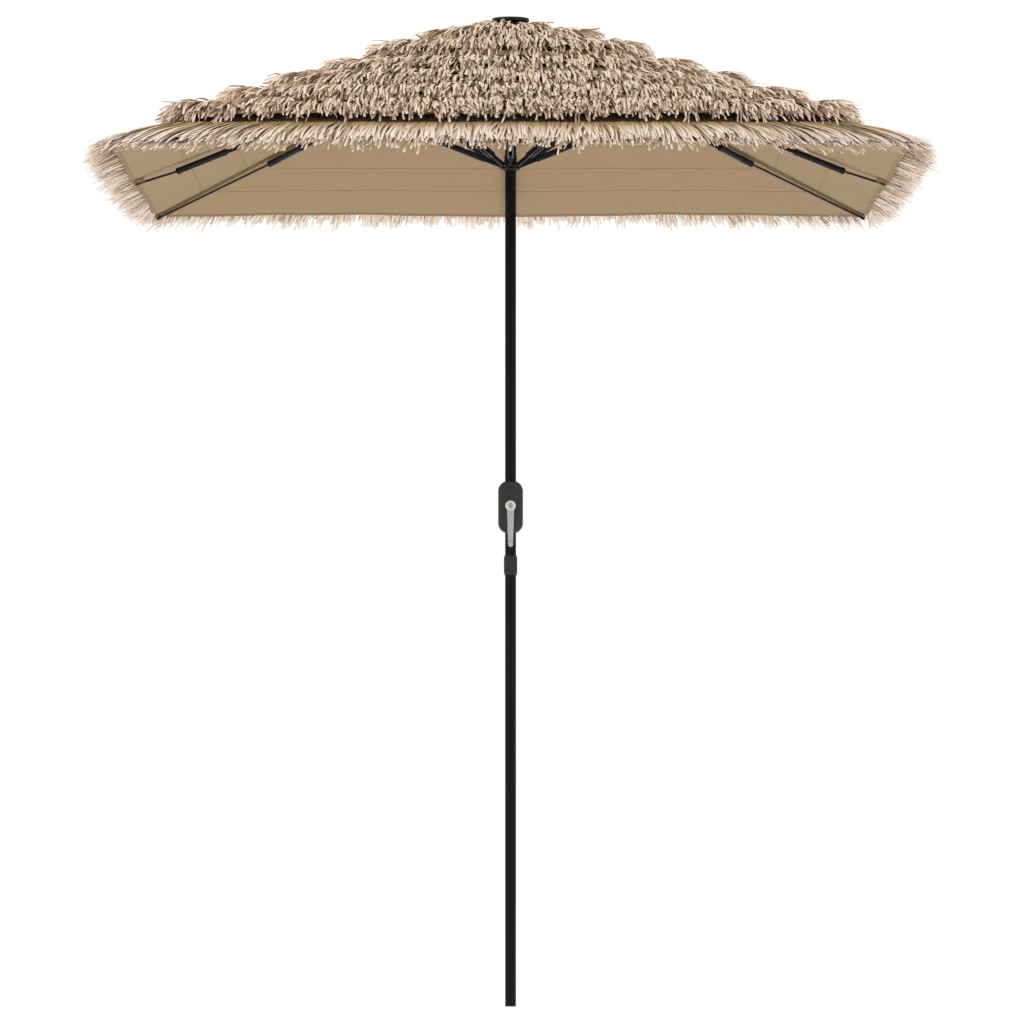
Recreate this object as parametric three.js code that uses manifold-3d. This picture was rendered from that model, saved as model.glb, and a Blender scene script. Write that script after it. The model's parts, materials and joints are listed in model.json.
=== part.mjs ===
// A square thatched beach umbrella with a crank: a two-piece pole, eight hinged ribs with telescoping
// rods and struts, a sliding runner, a cord lift, a cloth canopy in eight sectors and a raffia thatch.
// Millimetres, +Z up. The origin is the middle of the pole's foot, and the crank faces -Y.
import * as THREE from 'three';
import { mergeVertices } from 'three/addons/utils/BufferGeometryUtils.js';
import Module from 'manifold-3d';

const wasm = await Module();
wasm.setup();

// ---- Driving dimensions ----
const GAP = 0.3; // between pieces that touch
const TOTAL_HEIGHT = 2420;
const CANOPY_HALF = 928.5; // half the width of the square cloth
const EDGE_Z = 2020; // height of the cloth at its edge
const FRINGE = 75; // how far the raffia reaches past the cloth

const POLE_R = 13.5;
const POLE_WALL = 1.2;
const JOIN_Z = 1080; // where the upper pole's shoulder meets the lower pole

const PIVOT_R = 21; // the rib and strut pivots stand this far from the pole's axis
const TOP_PIVOT_Z = 2364;
const RUNNER_PIVOT_Z = 2058;
const MID_PITCH = 0.4; // the fall of a side rib over its reach
const CORNER_PITCH = 0.281;
const CLOSED_ANGLE = THREE.MathUtils.degToRad(86.5); // below level, for every rib

const CRANK_Z = 1225;
const CRANK_TURNS = 9; // from open to closed

const TURN = Math.PI * 2;

// ---- The fold, worked out from the pivots ----
// On a side rib the rib's inner length and its strut are alike, so the runner follows straight up
// and down. A corner rib starts flatter and ends as steep, which sets its two lengths.
const midAngle = Math.atan(MID_PITCH);
const cornerAngle = Math.atan(CORNER_PITCH);
const openRise = TOP_PIVOT_Z - RUNNER_PIVOT_Z;
const midReach = openRise / (2 * Math.sin(midAngle));
const closedRise = 2 * midReach * Math.sin(CLOSED_ANGLE);
const cornerReach = (closedRise ** 2 - openRise ** 2)
  / (2 * (closedRise * Math.sin(CLOSED_ANGLE) - openRise * Math.sin(cornerAngle)));
const cornerStrut = Math.sqrt(
  cornerReach ** 2 + openRise ** 2 - 2 * cornerReach * openRise * Math.sin(cornerAngle));
// The cord winds at this radius, so that the turns take up the runner's whole travel.
const windingR = (closedRise - openRise) / (CRANK_TURNS * TURN);

// ---- The cloth's surface: flat over the hub, then four straight sides ----
// Midway between two ribs the hem curves in by hemIn and lifts by hemLift.
const CLOTH = { thick: 1.2, holeHalf: 12, topHalf: 27, topZ: 2375.5, hemIn: 3, hemLift: 5 };
const clothPitch = (CLOTH.topZ - EDGE_Z) / (CANOPY_HALF - CLOTH.topHalf);
const clothZ = (reach) => CLOTH.topZ - clothPitch * Math.max(reach - CLOTH.topHalf, 0);

// ---- Ribs and struts ----
const RIB = { width: 8, height: 10, wall: 0.9, eyeR: 5, holeR: 2.4, eyeThick: 6.6, pinHoleR: 2.5 };
const SLEEVE = { r: 8.5, chamfer: 1.5, insert: 60 };
const ROD = { r: 2.8, tipR: 4, tipLength: 14, insideSleeve: 20 };
const STRUT = {
  width: 13, depth: 14, wall: 1.2, outerEnd: 5, webStart: 17, pinR: 2, headR: 3.4, headThick: 1.1,
  tongueWidth: 7, tongueDepth: 10, tongueLength: 45, overlap: 8, cornerStop: 3.6,
};
const mid = {
  pitch: MID_PITCH, angle: midAngle, reach: midReach, strut: midReach, strutAngle: midAngle,
  sleeveIn: 695, sleeveOut: 819, tip: CANOPY_HALF - 8.5, tipDrop: 10, eye: true,
};
const corner = {
  pitch: CORNER_PITCH, angle: cornerAngle, reach: cornerReach, strut: cornerStrut,
  strutAngle: Math.asin((openRise - cornerReach * Math.sin(cornerAngle)) / cornerStrut),
  sleeveIn: 749, sleeveOut: 873, tip: (CANOPY_HALF - 8) * Math.SQRT2, tipDrop: 10, eye: false,
};

// ---- Other parts ----
const RING = { wireR: 1.5, grooveHalf: 1.8 };
const HUB = {
  bottom: 2332, capZ: 2351, crownBottom: 2355, top: 2374, coreR: 15.4, crownR: 26,
  slotTop: 2370, slotWidth: 8.8, studR: 8, studTop: 2402,
};
const RUNNER = {
  bottom: 2046, crownBottom: 2049, crownTop: 2064, top: 2085, bore: 14, neckR: 15.4, collarR: 17.5,
  crownR: 24.5, slotWidth: 8.4, slotFloor: 2052.2,
};
const PULLEY = { z: 2315, r: 12, width: 6, offset: 3.5, azimuth: Math.PI * 0.625, pinR: 2, slotWidth: 7.4 };
const CORD_R = 1.25;
const SPOOL = { flangeR: 10.5, flange: 1.5, near: -11, far: 5, boreR: 3.4 };
const HOUSING = {
  width: 60.5, height: 127, cornerR: 25, front: -36, back: 23, wall: 3.5, round: 6, midZ: 1222.5,
  plateWidth: 36, plateHeight: 96, plateThick: 1.4, screwX: 21.5, bossR: 5, bearingR: 6.5,
};
const HANDLE = { bossR: 13, near: -50, far: -38.2, armThick: 6.5, rootHalf: 9, endHalf: 6, endZ: 1130 };
const KNOB = { r: 6, length: 28, studR: 2.4 };
const SHAFT = { r: 3, near: -44, far: 15.5 };
const SCREW = { r: 1.8, headR: 3.6, headThick: 2.4, near: -22 };
const COLLAR = { bottom: 1056, top: 1105, r: 16, chamfer: 4 };
const FOOT = { flange: 4, plugTop: 24, chamfer: 1 };
const CAP = { r: 45.5, rim: 2412, bottom: 2396, neckR: 11.5, round: 3 };
const THATCH = { tiers: 8, loft: 42, skin: 2.2, clear: 1.2, fringeDrop: 20, fringeThick: 8, steps: 4 };

const UP = new THREE.Vector3(0, 0, 1);

// ---- Materials ----
const finish = (color, roughness, metalness = 0) =>
  new THREE.MeshStandardMaterial({ color, roughness, metalness });
const blackPaint = finish(0x17171a, 0.3, 0.4);
const darkPlastic = finish(0x333237, 0.55);
const blackPlastic = finish(0x161618, 0.5);
const silverPlastic = finish(0xb4b4b4, 0.4);
const bareSteel = finish(0x8c8f94, 0.3, 0.9);
const tanCloth = finish(0xac9375, 0.9);
const straw = finish(0xc9b293, 0.85);
const whiteCord = finish(0xd9d6cc, 0.8);

// ---- Solids ----
// Shares the vertices that stand in one place, drops triangles with no area, and faces them outwards.
function closed(geometry) {
  const bare = new THREE.BufferGeometry();
  bare.setAttribute('position', geometry.attributes.position.clone());
  if (geometry.index) bare.setIndex(geometry.index);
  const merged = mergeVertices(bare, 1e-3);
  const { array } = merged.index;
  const kept = [];
  for (let i = 0; i < array.length; i += 3) {
    const [a, b, c] = [array[i], array[i + 1], array[i + 2]];
    if (a !== b && b !== c && a !== c) kept.push(a, b, c);
  }
  if (volumeOf(merged.attributes.position, kept) < 0) kept.reverse();
  merged.setIndex(kept);
  return merged;
}

function volumeOf(position, indices) {
  const [a, b, c] = [new THREE.Vector3(), new THREE.Vector3(), new THREE.Vector3()];
  let volume = 0;
  for (let i = 0; i < indices.length; i += 3) {
    a.fromBufferAttribute(position, indices[i]);
    b.fromBufferAttribute(position, indices[i + 1]);
    c.fromBufferAttribute(position, indices[i + 2]);
    volume += a.dot(b.cross(c)) / 6;
  }
  return volume;
}

function toSolid(geometry) {
  const g = closed(geometry);
  return new wasm.Manifold(new wasm.Mesh({
    numProp: 3,
    vertProperties: Float32Array.from(g.attributes.position.array),
    triVerts: Uint32Array.from(g.index.array),
  }));
}

function fromSolid(solid) {
  const { vertProperties, triVerts } = solid.getMesh();
  const geometry = new THREE.BufferGeometry();
  geometry.setAttribute('position', new THREE.BufferAttribute(vertProperties, 3));
  geometry.setIndex(new THREE.BufferAttribute(triVerts, 1));
  return geometry;
}

const joined = (...geometries) =>
  fromSolid(geometries.map(toSolid).reduce((all, next) => all.add(next)));
const cut = (body, ...tools) =>
  fromSolid(tools.map(toSolid).reduce((left, tool) => left.subtract(tool), toSolid(body)));

// A profile of [radius, height] points turned about Z. It starts and ends on the axis, or is a loop.
function turned(profile, sides = 24) {
  const points = profile.map(([r, z]) => new THREE.Vector2(r, z));
  return new THREE.LatheGeometry(points, sides).rotateX(Math.PI / 2);
}

// The same about the Y axis: each point is [radius, y].
const turnedAboutY = (profile, sides) => turned(profile, sides).rotateX(-Math.PI / 2);

// The same about the X axis: each point is [radius, x].
const turnedAboutX = (profile, sides) => turned(profile, sides).rotateY(Math.PI / 2);

const loop = (points) => [...points, points[0]];

const block = (x0, x1, y0, y1, z0, z1) =>
  new THREE.BoxGeometry(x1 - x0, y1 - y0, z1 - z0)
    .translate((x0 + x1) / 2, (y0 + y1) / 2, (z0 + z1) / 2);

const barAlongY = (r, y0, y1, x = 0, z = 0, sides = 12) =>
  new THREE.CylinderGeometry(r, r, y1 - y0, sides).translate(x, (y0 + y1) / 2, z);

const outline = (points) => new THREE.Shape(points.map(([x, y]) => new THREE.Vector2(x, y)));

// An outline in (y, z) drawn out along X.
function drawnAlongX(points, x0, x1) {
  const geometry = new THREE.ExtrudeGeometry(outline(points), { depth: x1 - x0, bevelEnabled: false });
  return geometry.rotateX(Math.PI / 2).rotateZ(Math.PI / 2).translate(x0, 0, 0);
}

// An outline in (x, z) drawn out along Y from y0 to y1.
function drawnAlongY(shape, y0, y1) {
  const depth = y1 - y0;
  const geometry = new THREE.ExtrudeGeometry(shape, { depth, bevelEnabled: false, curveSegments: 5 });
  return geometry.rotateX(Math.PI / 2).translate(0, y1, 0);
}

const parts = new THREE.Group();

function addPart(name, geometry, material, parent = parts) {
  const mesh = new THREE.Mesh(closed(geometry), material);
  mesh.name = name;
  parent.add(mesh);
  return mesh;
}

// ---- Pole ----
function lowerPole() {
  const inner = POLE_R - POLE_WALL;
  const bottom = FOOT.flange + GAP;
  const top = JOIN_Z - 2;
  return turned(loop([[POLE_R, bottom], [POLE_R, top], [inner, top], [inner, bottom]]));
}

// The upper pole narrows below its shoulder to slip into the lower pole. A window lets the spool in,
// a hole takes the crank's shaft, and a slot near the top lets the pulley out.
function upperPole() {
  const neckR = POLE_R - POLE_WALL - 0.4;
  const neckBottom = JOIN_Z - 60;
  const top = HUB.capZ - 1;
  const tube = turned(loop([
    [neckR, neckBottom], [neckR, JOIN_Z], [POLE_R, JOIN_Z + 3], [POLE_R, top],
    [POLE_R - POLE_WALL, top], [POLE_R - POLE_WALL, JOIN_Z + 5],
    [neckR - POLE_WALL, JOIN_Z + 2], [neckR - POLE_WALL, neckBottom],
  ]));
  const windowHalf = SPOOL.flangeR + 0.7;
  const window = block(-windowHalf, windowHalf, -POLE_R - 1, 0, CRANK_Z - 14, CRANK_Z + 14);
  const shaftHole = barAlongY(SHAFT.r + 0.6, 0, POLE_R + 1, 0, CRANK_Z);
  const slotHalf = PULLEY.slotWidth / 2;
  const slot = block(8, POLE_R + 1, -slotHalf, slotHalf, PULLEY.z - 14, PULLEY.z + 14)
    .rotateZ(PULLEY.azimuth);
  const pinHole = barAlongY(PULLEY.pinR + GAP, -POLE_R - 1, POLE_R + 1, PULLEY.offset, PULLEY.z, 12)
    .rotateZ(PULLEY.azimuth);
  return cut(tube, window, shaftHole, slot, pinHole);
}

function poleCollar() {
  const { bottom, top, r, chamfer } = COLLAR;
  const inner = POLE_R + GAP;
  const lip = inner + 0.8;
  return turned(loop([
    [inner, bottom], [lip, bottom], [r, bottom + chamfer], [r, top - chamfer], [lip, top], [inner, top],
  ]));
}

function footPlug() {
  const plugR = POLE_R - POLE_WALL - 0.4;
  return turned([
    [0, 0], [POLE_R - FOOT.chamfer, 0], [POLE_R, FOOT.chamfer], [POLE_R, FOOT.flange],
    [plugR, FOOT.flange], [plugR, FOOT.plugTop], [0, FOOT.plugTop],
  ]);
}

// ---- Crank ----
function roundedOblong(width, height, r) {
  const [w, h] = [width / 2, height / 2];
  const shape = new THREE.Shape();
  shape.moveTo(-w + r, -h);
  shape.lineTo(w - r, -h);
  shape.absarc(w - r, -h + r, r, -Math.PI / 2, 0);
  shape.lineTo(w, h - r);
  shape.absarc(w - r, h - r, r, 0, Math.PI / 2);
  shape.lineTo(-w + r, h);
  shape.absarc(-w + r, h - r, r, Math.PI / 2, Math.PI);
  shape.lineTo(-w, -h + r);
  shape.absarc(-w + r, -h + r, r, Math.PI, Math.PI * 1.5);
  return shape;
}

// Half of the housing: a rounded shell, open where it meets the other half. side is -1 for the
// front half and 1 for the back one, and depth is its outer depth.
function housingShell(side, depth) {
  const { width, height, cornerR, round, wall, midZ, screwX, bossR } = HOUSING;
  const shape = roundedOblong(width - 2 * round, height - 2 * round, cornerR - round);
  const outer = new THREE.ExtrudeGeometry(shape, {
    depth: 2 * (depth - round), bevelThickness: round, bevelSize: round, bevelSegments: 2, curveSegments: 5,
  }).translate(0, 0, -(depth - round)).rotateX(Math.PI / 2);
  const inside = drawnAlongY(
    roundedOblong(width - 2 * wall, height - 2 * wall, cornerR - wall), -(depth - wall), depth - wall);
  const bosses = [-1, 1].map((end) => barAlongY(bossR, -(depth - 1), depth - 1, end * screwX, 0, 8));
  const hollow = cut(outer, cut(inside, ...bosses)).translate(0, 0, midZ);
  const farHalf = block(-width, width, (side * GAP) / 2, -side * 2 * depth, midZ - height, midZ + height);
  const poleWay = turned([[0, midZ - height], [POLE_R + GAP, midZ - height], [POLE_R + GAP, midZ + height],
    [0, midZ + height]]);
  return cut(hollow, farHalf, poleWay);
}

function housingFront() {
  const { plateWidth, plateHeight, plateThick, midZ, front, screwX } = HOUSING;
  const shell = housingShell(-1, -front);
  const plate = drawnAlongY(roundedOblong(plateWidth, plateHeight, plateWidth / 2 - 1),
    front - plateThick, front + 1).translate(0, 0, midZ);
  const shaftHole = barAlongY(SHAFT.r + 0.6, 2 * front, -POLE_R, 0, CRANK_Z);
  const screwHoles = [-1, 1].map((end) =>
    barAlongY(SCREW.r + GAP, SCREW.near - 2, 1, end * screwX, midZ, 8));
  return cut(joined(shell, plate), shaftHole, ...screwHoles);
}

function housingBack() {
  const { back, midZ, screwX, bearingR } = HOUSING;
  const shell = housingShell(1, back);
  const socket = joined(
    barAlongY(bearingR, POLE_R + 1, back - 1, 0, CRANK_Z),
    shell,
  );
  const shaftHole = barAlongY(SHAFT.r + GAP, POLE_R, SHAFT.far + 1, 0, CRANK_Z);
  const screwHoles = [-1, 1].map((end) =>
    barAlongY(SCREW.r + GAP, -1, back + 1, end * screwX, midZ, 8));
  return cut(socket, shaftHole, ...screwHoles);
}

function housingScrew(end) {
  const { r, headR, headThick, near } = SCREW;
  const seat = HOUSING.back + GAP;
  return turnedAboutY([[0, near], [r, near], [r, seat], [headR, seat], [headR, seat + headThick - 0.8],
    [headR - 0.8, seat + headThick], [0, seat + headThick]], 8)
    .translate(end * HOUSING.screwX, 0, HOUSING.midZ);
}

// The drum's radius includes the cord that is wound on it.
function windingSpool() {
  const { flangeR, flange, near, far, boreR } = SPOOL;
  const woundR = windingR + CORD_R;
  return turnedAboutY(loop([
    [boreR, near], [flangeR, near], [flangeR, near + flange], [woundR, near + flange],
    [woundR, far - flange], [flangeR, far - flange], [flangeR, far], [boreR, far],
  ]), 16).translate(0, 0, CRANK_Z);
}

const crankShaft = () => barAlongY(SHAFT.r, SHAFT.near, SHAFT.far, 0, CRANK_Z);

// A round boss, an arm that tapers downwards, and the stud that the knob turns on.
function crankHandle() {
  const { bossR, near, far, armThick, rootHalf, endHalf, endZ } = HANDLE;
  const round = 2;
  const boss = turnedAboutY([[0, near], [bossR - round, near], [bossR, near + round], [bossR, far - 1],
    [bossR - 1, far], [0, far]], 20).translate(0, 0, CRANK_Z);
  const armShape = new THREE.Shape();
  armShape.moveTo(-rootHalf, CRANK_Z);
  armShape.lineTo(-endHalf, endZ);
  armShape.absarc(0, endZ, endHalf, Math.PI, TURN);
  armShape.lineTo(rootHalf, CRANK_Z);
  const armNear = far - armThick - 1;
  const arm = drawnAlongY(armShape, armNear, armNear + armThick);
  const stud = barAlongY(KNOB.studR, armNear - KNOB.length + 4, armNear + 1, 0, endZ, 12);
  const socket = barAlongY(SHAFT.r + 0.2, SHAFT.near - GAP, far + 1, 0, CRANK_Z);
  return cut(joined(boss, arm, stud), socket);
}

function crankKnob() {
  const { r, length, studR } = KNOB;
  const back = HANDLE.far - HANDLE.armThick - 1 - GAP;
  const front = back - length;
  const bore = studR + GAP;
  const boreEnd = front + 3.4;
  return turnedAboutY([[0, front], [r - 2, front], [r, front + 2], [r, back - 1], [r - 1, back],
    [bore, back], [bore, boreEnd], [0, boreEnd]], 12).translate(0, 0, HANDLE.endZ);
}

// ---- Hub and runner ----
// Eight radial slots, one for each rib.
const slots = (inner, outer, width, z0, z1) => Array.from({ length: 8 }, (_, i) =>
  block(inner, outer, -width / 2, width / 2, z0, z1).rotateZ((i * TURN) / 8));

const ringGroove = (z0, z1) => turned(loop([
  [PIVOT_R - RING.grooveHalf, z0], [PIVOT_R + RING.grooveHalf, z0],
  [PIVOT_R + RING.grooveHalf, z1], [PIVOT_R - RING.grooveHalf, z1],
]), 24);

function topHub() {
  const { bottom, capZ, crownBottom, top, coreR, crownR, slotTop, slotWidth, studR, studTop } = HUB;
  const bore = POLE_R + GAP;
  const body = turned([
    [0, capZ], [bore, capZ], [bore, bottom], [coreR, bottom], [coreR, crownBottom], [crownR, crownBottom],
    [crownR, top - 1], [crownR - 2, top], [studR, top], [studR, studTop], [0, studTop],
  ]);
  return cut(body, ringGroove(crownBottom - 1, TOP_PIVOT_Z + RING.grooveHalf),
    ...slots(coreR + 0.1, crownR + 5, slotWidth, crownBottom - 1, slotTop));
}

const pivotRing = (z) => new THREE.TorusGeometry(PIVOT_R, RING.wireR, 5, 24).translate(0, 0, z);

function runner() {
  const { bottom, crownBottom, crownTop, top, bore, neckR, collarR, crownR, slotWidth, slotFloor } = RUNNER;
  const body = turned(loop([
    [bore, bottom], [collarR - 1, bottom], [collarR, bottom + 1], [collarR, crownBottom],
    [crownR - 2, crownBottom], [crownR, crownBottom + 2], [crownR, crownTop], [neckR, crownTop],
    [neckR, top], [bore, top],
  ]));
  return cut(body, ringGroove(RUNNER_PIVOT_Z - RING.grooveHalf, crownTop + 1),
    ...slots(neckR + 0.1, crownR + 5, slotWidth, slotFloor, crownTop + 1));
}

// The groove's floor stands clear of the cord, whose middle runs at radius r.
function pulley() {
  const { r, width, pinR } = PULLEY;
  const half = width / 2;
  const [grooveHalf, grooveR, rimR] = [CORD_R + 0.4, r - CORD_R - 0.4, r + 0.8];
  return turnedAboutY(loop([
    [pinR + GAP, -half], [rimR, -half], [rimR, -grooveHalf], [grooveR, -grooveHalf],
    [grooveR, grooveHalf], [rimR, grooveHalf], [rimR, half], [pinR + GAP, half],
  ]), 16).translate(PULLEY.offset, 0, PULLEY.z).rotateZ(PULLEY.azimuth);
}

const pulleyPin = () =>
  barAlongY(PULLEY.pinR, -POLE_R - 0.6, POLE_R + 0.6, PULLEY.offset, PULLEY.z, 12).rotateZ(PULLEY.azimuth);

// A path that a tube follows from point to point, with one step for each stretch.
class Route extends THREE.Curve {
  constructor(points) {
    super();
    this.points = points;
  }

  getPointAt(share) {
    const along = share * (this.points.length - 1);
    const from = Math.min(Math.floor(along), this.points.length - 2);
    return this.points[from].clone().lerp(this.points[from + 1], along - from);
  }

  getTangentAt(share) {
    const reach = 0.5 / (this.points.length - 1);
    const before = this.getPointAt(Math.max(share - reach, 0));
    return this.getPointAt(Math.min(share + reach, 1)).sub(before).normalize();
  }
}

// Up from the spool inside the pole, over the pulley, and down outside to the runner's neck.
function liftCord() {
  const { z, r, offset, azimuth } = PULLEY;
  const along = new THREE.Vector3(Math.cos(azimuth), Math.sin(azimuth), 0);
  const over = (angle) => along.clone().multiplyScalar(offset - r * Math.cos(angle))
    .addScaledVector(UP, z + r * Math.sin(angle));
  const arcSteps = 8;
  const points = [
    new THREE.Vector3(windingR, (SPOOL.near + SPOOL.far) / 2, CRANK_Z + 14),
    ...Array.from({ length: arcSteps + 1 }, (_, i) => over((i / arcSteps) * Math.PI)),
    over(Math.PI).setZ(RUNNER.top + GAP),
  ];
  const sides = 8;
  const section = outline(Array.from({ length: sides }, (_, i) =>
    [CORD_R * Math.cos((i * TURN) / sides), CORD_R * Math.sin((i * TURN) / sides)]));
  return new THREE.ExtrudeGeometry(section, {
    extrudePath: new Route(points), steps: points.length - 1, bevelEnabled: false,
  });
}

function topCap() {
  const { r, rim, bottom, neckR, round } = CAP;
  const bore = HUB.studR + GAP;
  return turned([
    [0, TOTAL_HEIGHT], [r - round, TOTAL_HEIGHT], [r, TOTAL_HEIGHT - round], [r, rim],
    [neckR, bottom], [bore, bottom], [bore, HUB.studTop + GAP], [0, HUB.studTop + GAP],
  ], 32);
}

// ---- Ribs: in a rib's own frame X runs outwards along it, Y is its width and Z its upper side ----
const ribLength = (kind, reach) => (reach - PIVOT_R) * Math.sqrt(1 + kind.pitch ** 2);

function ribBar(kind) {
  const { width, height, wall, eyeR, holeR, eyeThick, pinHoleR } = RIB;
  const [w, h] = [width / 2, height / 2];
  const end = ribLength(kind, kind.sleeveIn) + SLEEVE.insert;
  const channel = drawnAlongX([[-w, -h], [-w + wall, -h], [-w + wall, h - wall], [w - wall, h - wall],
    [w - wall, -h], [w, -h], [w, h], [-w, h]], eyeR + 1, end);
  const eyeShape = new THREE.Shape();
  eyeShape.moveTo(0, -h);
  eyeShape.lineTo(3 * eyeR, -h);
  eyeShape.lineTo(3 * eyeR, h);
  eyeShape.lineTo(0, h);
  eyeShape.absarc(0, 0, eyeR, Math.PI / 2, Math.PI * 1.5);
  const eye = drawnAlongY(eyeShape, -eyeThick / 2, eyeThick / 2);
  return cut(joined(channel, eye),
    barAlongY(holeR, -width, width, 0, 0, 8),
    barAlongY(pinHoleR, -width, width, kind.reach, 0, 8));
}

// A moulded sleeve that grips the bar's end, with the thin springy rod and its tip.
function ribRod(kind) {
  const start = ribLength(kind, kind.sleeveIn);
  const end = ribLength(kind, kind.sleeveOut);
  const { r, chamfer } = SLEEVE;
  const sleeve = turnedAboutX([[0, start], [r - chamfer, start], [r, start + chamfer],
    [r, end - chamfer], [r - chamfer, end], [0, end]], 10);
  const socket = block(start - 1, start + SLEEVE.insert + GAP, -RIB.width / 2 - GAP, RIB.width / 2 + GAP,
    -RIB.height / 2 - GAP, RIB.height / 2 + GAP);
  const sleeveOutZ = TOP_PIVOT_Z - kind.pitch * (kind.sleeveOut - PIVOT_R);
  const clothReach = kind === mid ? kind.tip : kind.tip / Math.SQRT2;
  const tipZ = clothZ(clothReach) - kind.tipDrop;
  const run = kind.tip - kind.sleeveOut;
  const rodPitch = (sleeveOutZ - tipZ) / run;
  const length = Math.hypot(run, sleeveOutZ - tipZ);
  const rod = turnedAboutX([[0, -ROD.insideSleeve], [ROD.r, -ROD.insideSleeve],
    [ROD.r, length - ROD.tipLength], [ROD.tipR, length - ROD.tipLength], [ROD.tipR, length - 2],
    [ROD.tipR - 2, length], [0, length]], 8)
    .rotateY(Math.atan(rodPitch) - kind.angle).translate(end, 0, 0);
  return joined(cut(sleeve, socket), rod);
}

// ---- Struts: X runs from the rib's pin to the runner, Z is the open side of the channel ----
function strut(kind) {
  const { width, depth, wall, outerEnd, webStart, pinR, headR, headThick } = STRUT;
  const { tongueWidth, tongueDepth, tongueLength, overlap } = STRUT;
  const [w, d] = [width / 2, depth / 2];
  const channelEnd = kind.strut - tongueLength;
  const channel = drawnAlongX([[-w, -d], [w, -d], [w, d], [w - wall, d], [w - wall, -d + wall],
    [-w + wall, -d + wall], [-w + wall, d], [-w, d]], -outerEnd, channelEnd);
  const mouth = block(-outerEnd - 1, webStart, -w + wall, w - wall, -d - 1, d + 1);
  const pin = joined(
    barAlongY(pinR, -w - 0.5, w + 0.5, 0, 0, 8),
    barAlongY(headR, -w - headThick, -w + 0.2, 0, 0, 8),
    barAlongY(headR, w - 0.2, w + headThick, 0, 0, 8),
  );
  const filler = block(channelEnd - 2 * overlap, channelEnd, -w + wall / 2, w - wall / 2,
    -d + wall / 2, tongueDepth / 2);
  const tongue = strutTongue(kind, channelEnd - overlap, tongueWidth, tongueDepth);
  return joined(cut(channel, mouth), filler, tongue, pin);
}

// A side strut ends in an eye round the runner's ring. A corner strut stops short of the ring, because
// its end swings a little clear of it half way through the fold.
function strutTongue(kind, start, width, depth) {
  const [length, half] = [kind.strut, depth / 2];
  const shape = new THREE.Shape();
  shape.moveTo(start, -half);
  if (kind.eye) {
    shape.lineTo(length, -half);
    shape.absarc(length, 0, half, -Math.PI / 2, Math.PI / 2);
  } else {
    shape.lineTo(length - STRUT.cornerStop, -half);
    shape.lineTo(length - STRUT.cornerStop, half);
  }
  shape.lineTo(start, half);
  const tongue = drawnAlongY(shape, -width / 2, width / 2);
  return kind.eye ? cut(tongue, barAlongY(RIB.holeR, -width, width, length, 0, 8)) : tongue;
}

// ---- Canopy sectors ----
// profile is a closed outline of [reach, z], where reach is the distance from the pole along the side
// that a point lies on. A side sector spreads it half its reach to each side of the rib. A corner sector
// runs from the same line on one side, over the corner rib, to its like on the next side. Cloth and
// raffia share the slack between two ribs, which grows from nothing at the hub to hemIn and hemLift.
const SECTOR_GAP = 0.2; // on each side of a sector
const SECTOR_STEPS = 8; // across a cloth sector

function sector(profile, isCorner, steps) {
  const { topHalf, hemIn, hemLift } = CLOTH;
  const shape = outline(profile);
  const geometry = new THREE.ExtrudeGeometry(shape, { depth: 2, steps, bevelEnabled: false });
  const position = geometry.attributes.position;
  for (let i = 0; i < position.count; i += 1) {
    const [x, z] = [position.getX(i), position.getY(i)];
    const share = position.getZ(i) - 1; // -1 and 1 at the two edges, 0 on the rib
    const outwards = Math.max(x - topHalf, 0) / (CANOPY_HALF - topHalf);
    const slack = outwards * Math.sin((Math.abs(share) * Math.PI) / 2) ** 2;
    const reach = x - slack * hemIn;
    const across = Math.abs(share) * (reach / 2 - SECTOR_GAP);
    const height = z + slack * hemLift;
    if (!isCorner) position.setXYZ(i, reach, Math.sign(share) * across, height);
    else if (share < 0) position.setXYZ(i, reach, reach - across, height);
    else position.setXYZ(i, reach - across, reach, height);
  }
  return closed(geometry);
}

function clothSector(isCorner) {
  const { thick, holeHalf, topHalf, topZ } = CLOTH;
  const half = thick / 2;
  return sector([
    [holeHalf, topZ - half], [topHalf, topZ - half], [CANOPY_HALF, EDGE_Z - half],
    [CANOPY_HALF, EDGE_Z + half], [topHalf, topZ + half], [holeHalf, topZ + half],
  ], isCorner, SECTOR_STEPS);
}

// Overlapping tiers of raffia, each lifting off the cloth towards its lower edge, and a hanging fringe.
function thatchSector(isCorner) {
  const { tiers, loft, skin, clear, fringeDrop, fringeThick } = THATCH;
  const base = CLOTH.thick / 2 + clear;
  const start = CLOTH.holeHalf + 1;
  const tierRun = (CANOPY_HALF - start) / (tiers - 0.3);
  const shoulder = CLOTH.topHalf;
  const upper = [start, shoulder].map((x) => [x, CLOTH.topZ + base + skin]);
  const lower = [start, shoulder].map((x) => [x, CLOTH.topZ + base]);
  for (let tier = 0; tier < tiers - 1; tier += 1) {
    const tip = CANOPY_HALF - (tiers - 1 - tier) * tierRun;
    const lift = tier ? loft : loft / 2;
    upper.push([tip, clothZ(tip) + lift], [tip + 0.5, clothZ(tip) + base + skin]);
    lower.push([tip - skin, clothZ(tip) + lift - skin], [tip - skin + 0.5, clothZ(tip - skin) + base]);
  }
  const edge = CANOPY_HALF;
  const tip = edge + FRINGE;
  const tipZ = EDGE_Z - fringeDrop;
  upper.push([edge, EDGE_Z + loft], [tip - 1.5 * fringeThick, tipZ + loft], [tip, tipZ]);
  lower.push([edge, EDGE_Z + loft - fringeThick], [tip - 2 * fringeThick, tipZ + fringeThick]);
  return sector([...lower, ...upper.reverse()], isCorner, THATCH.steps);
}

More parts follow.
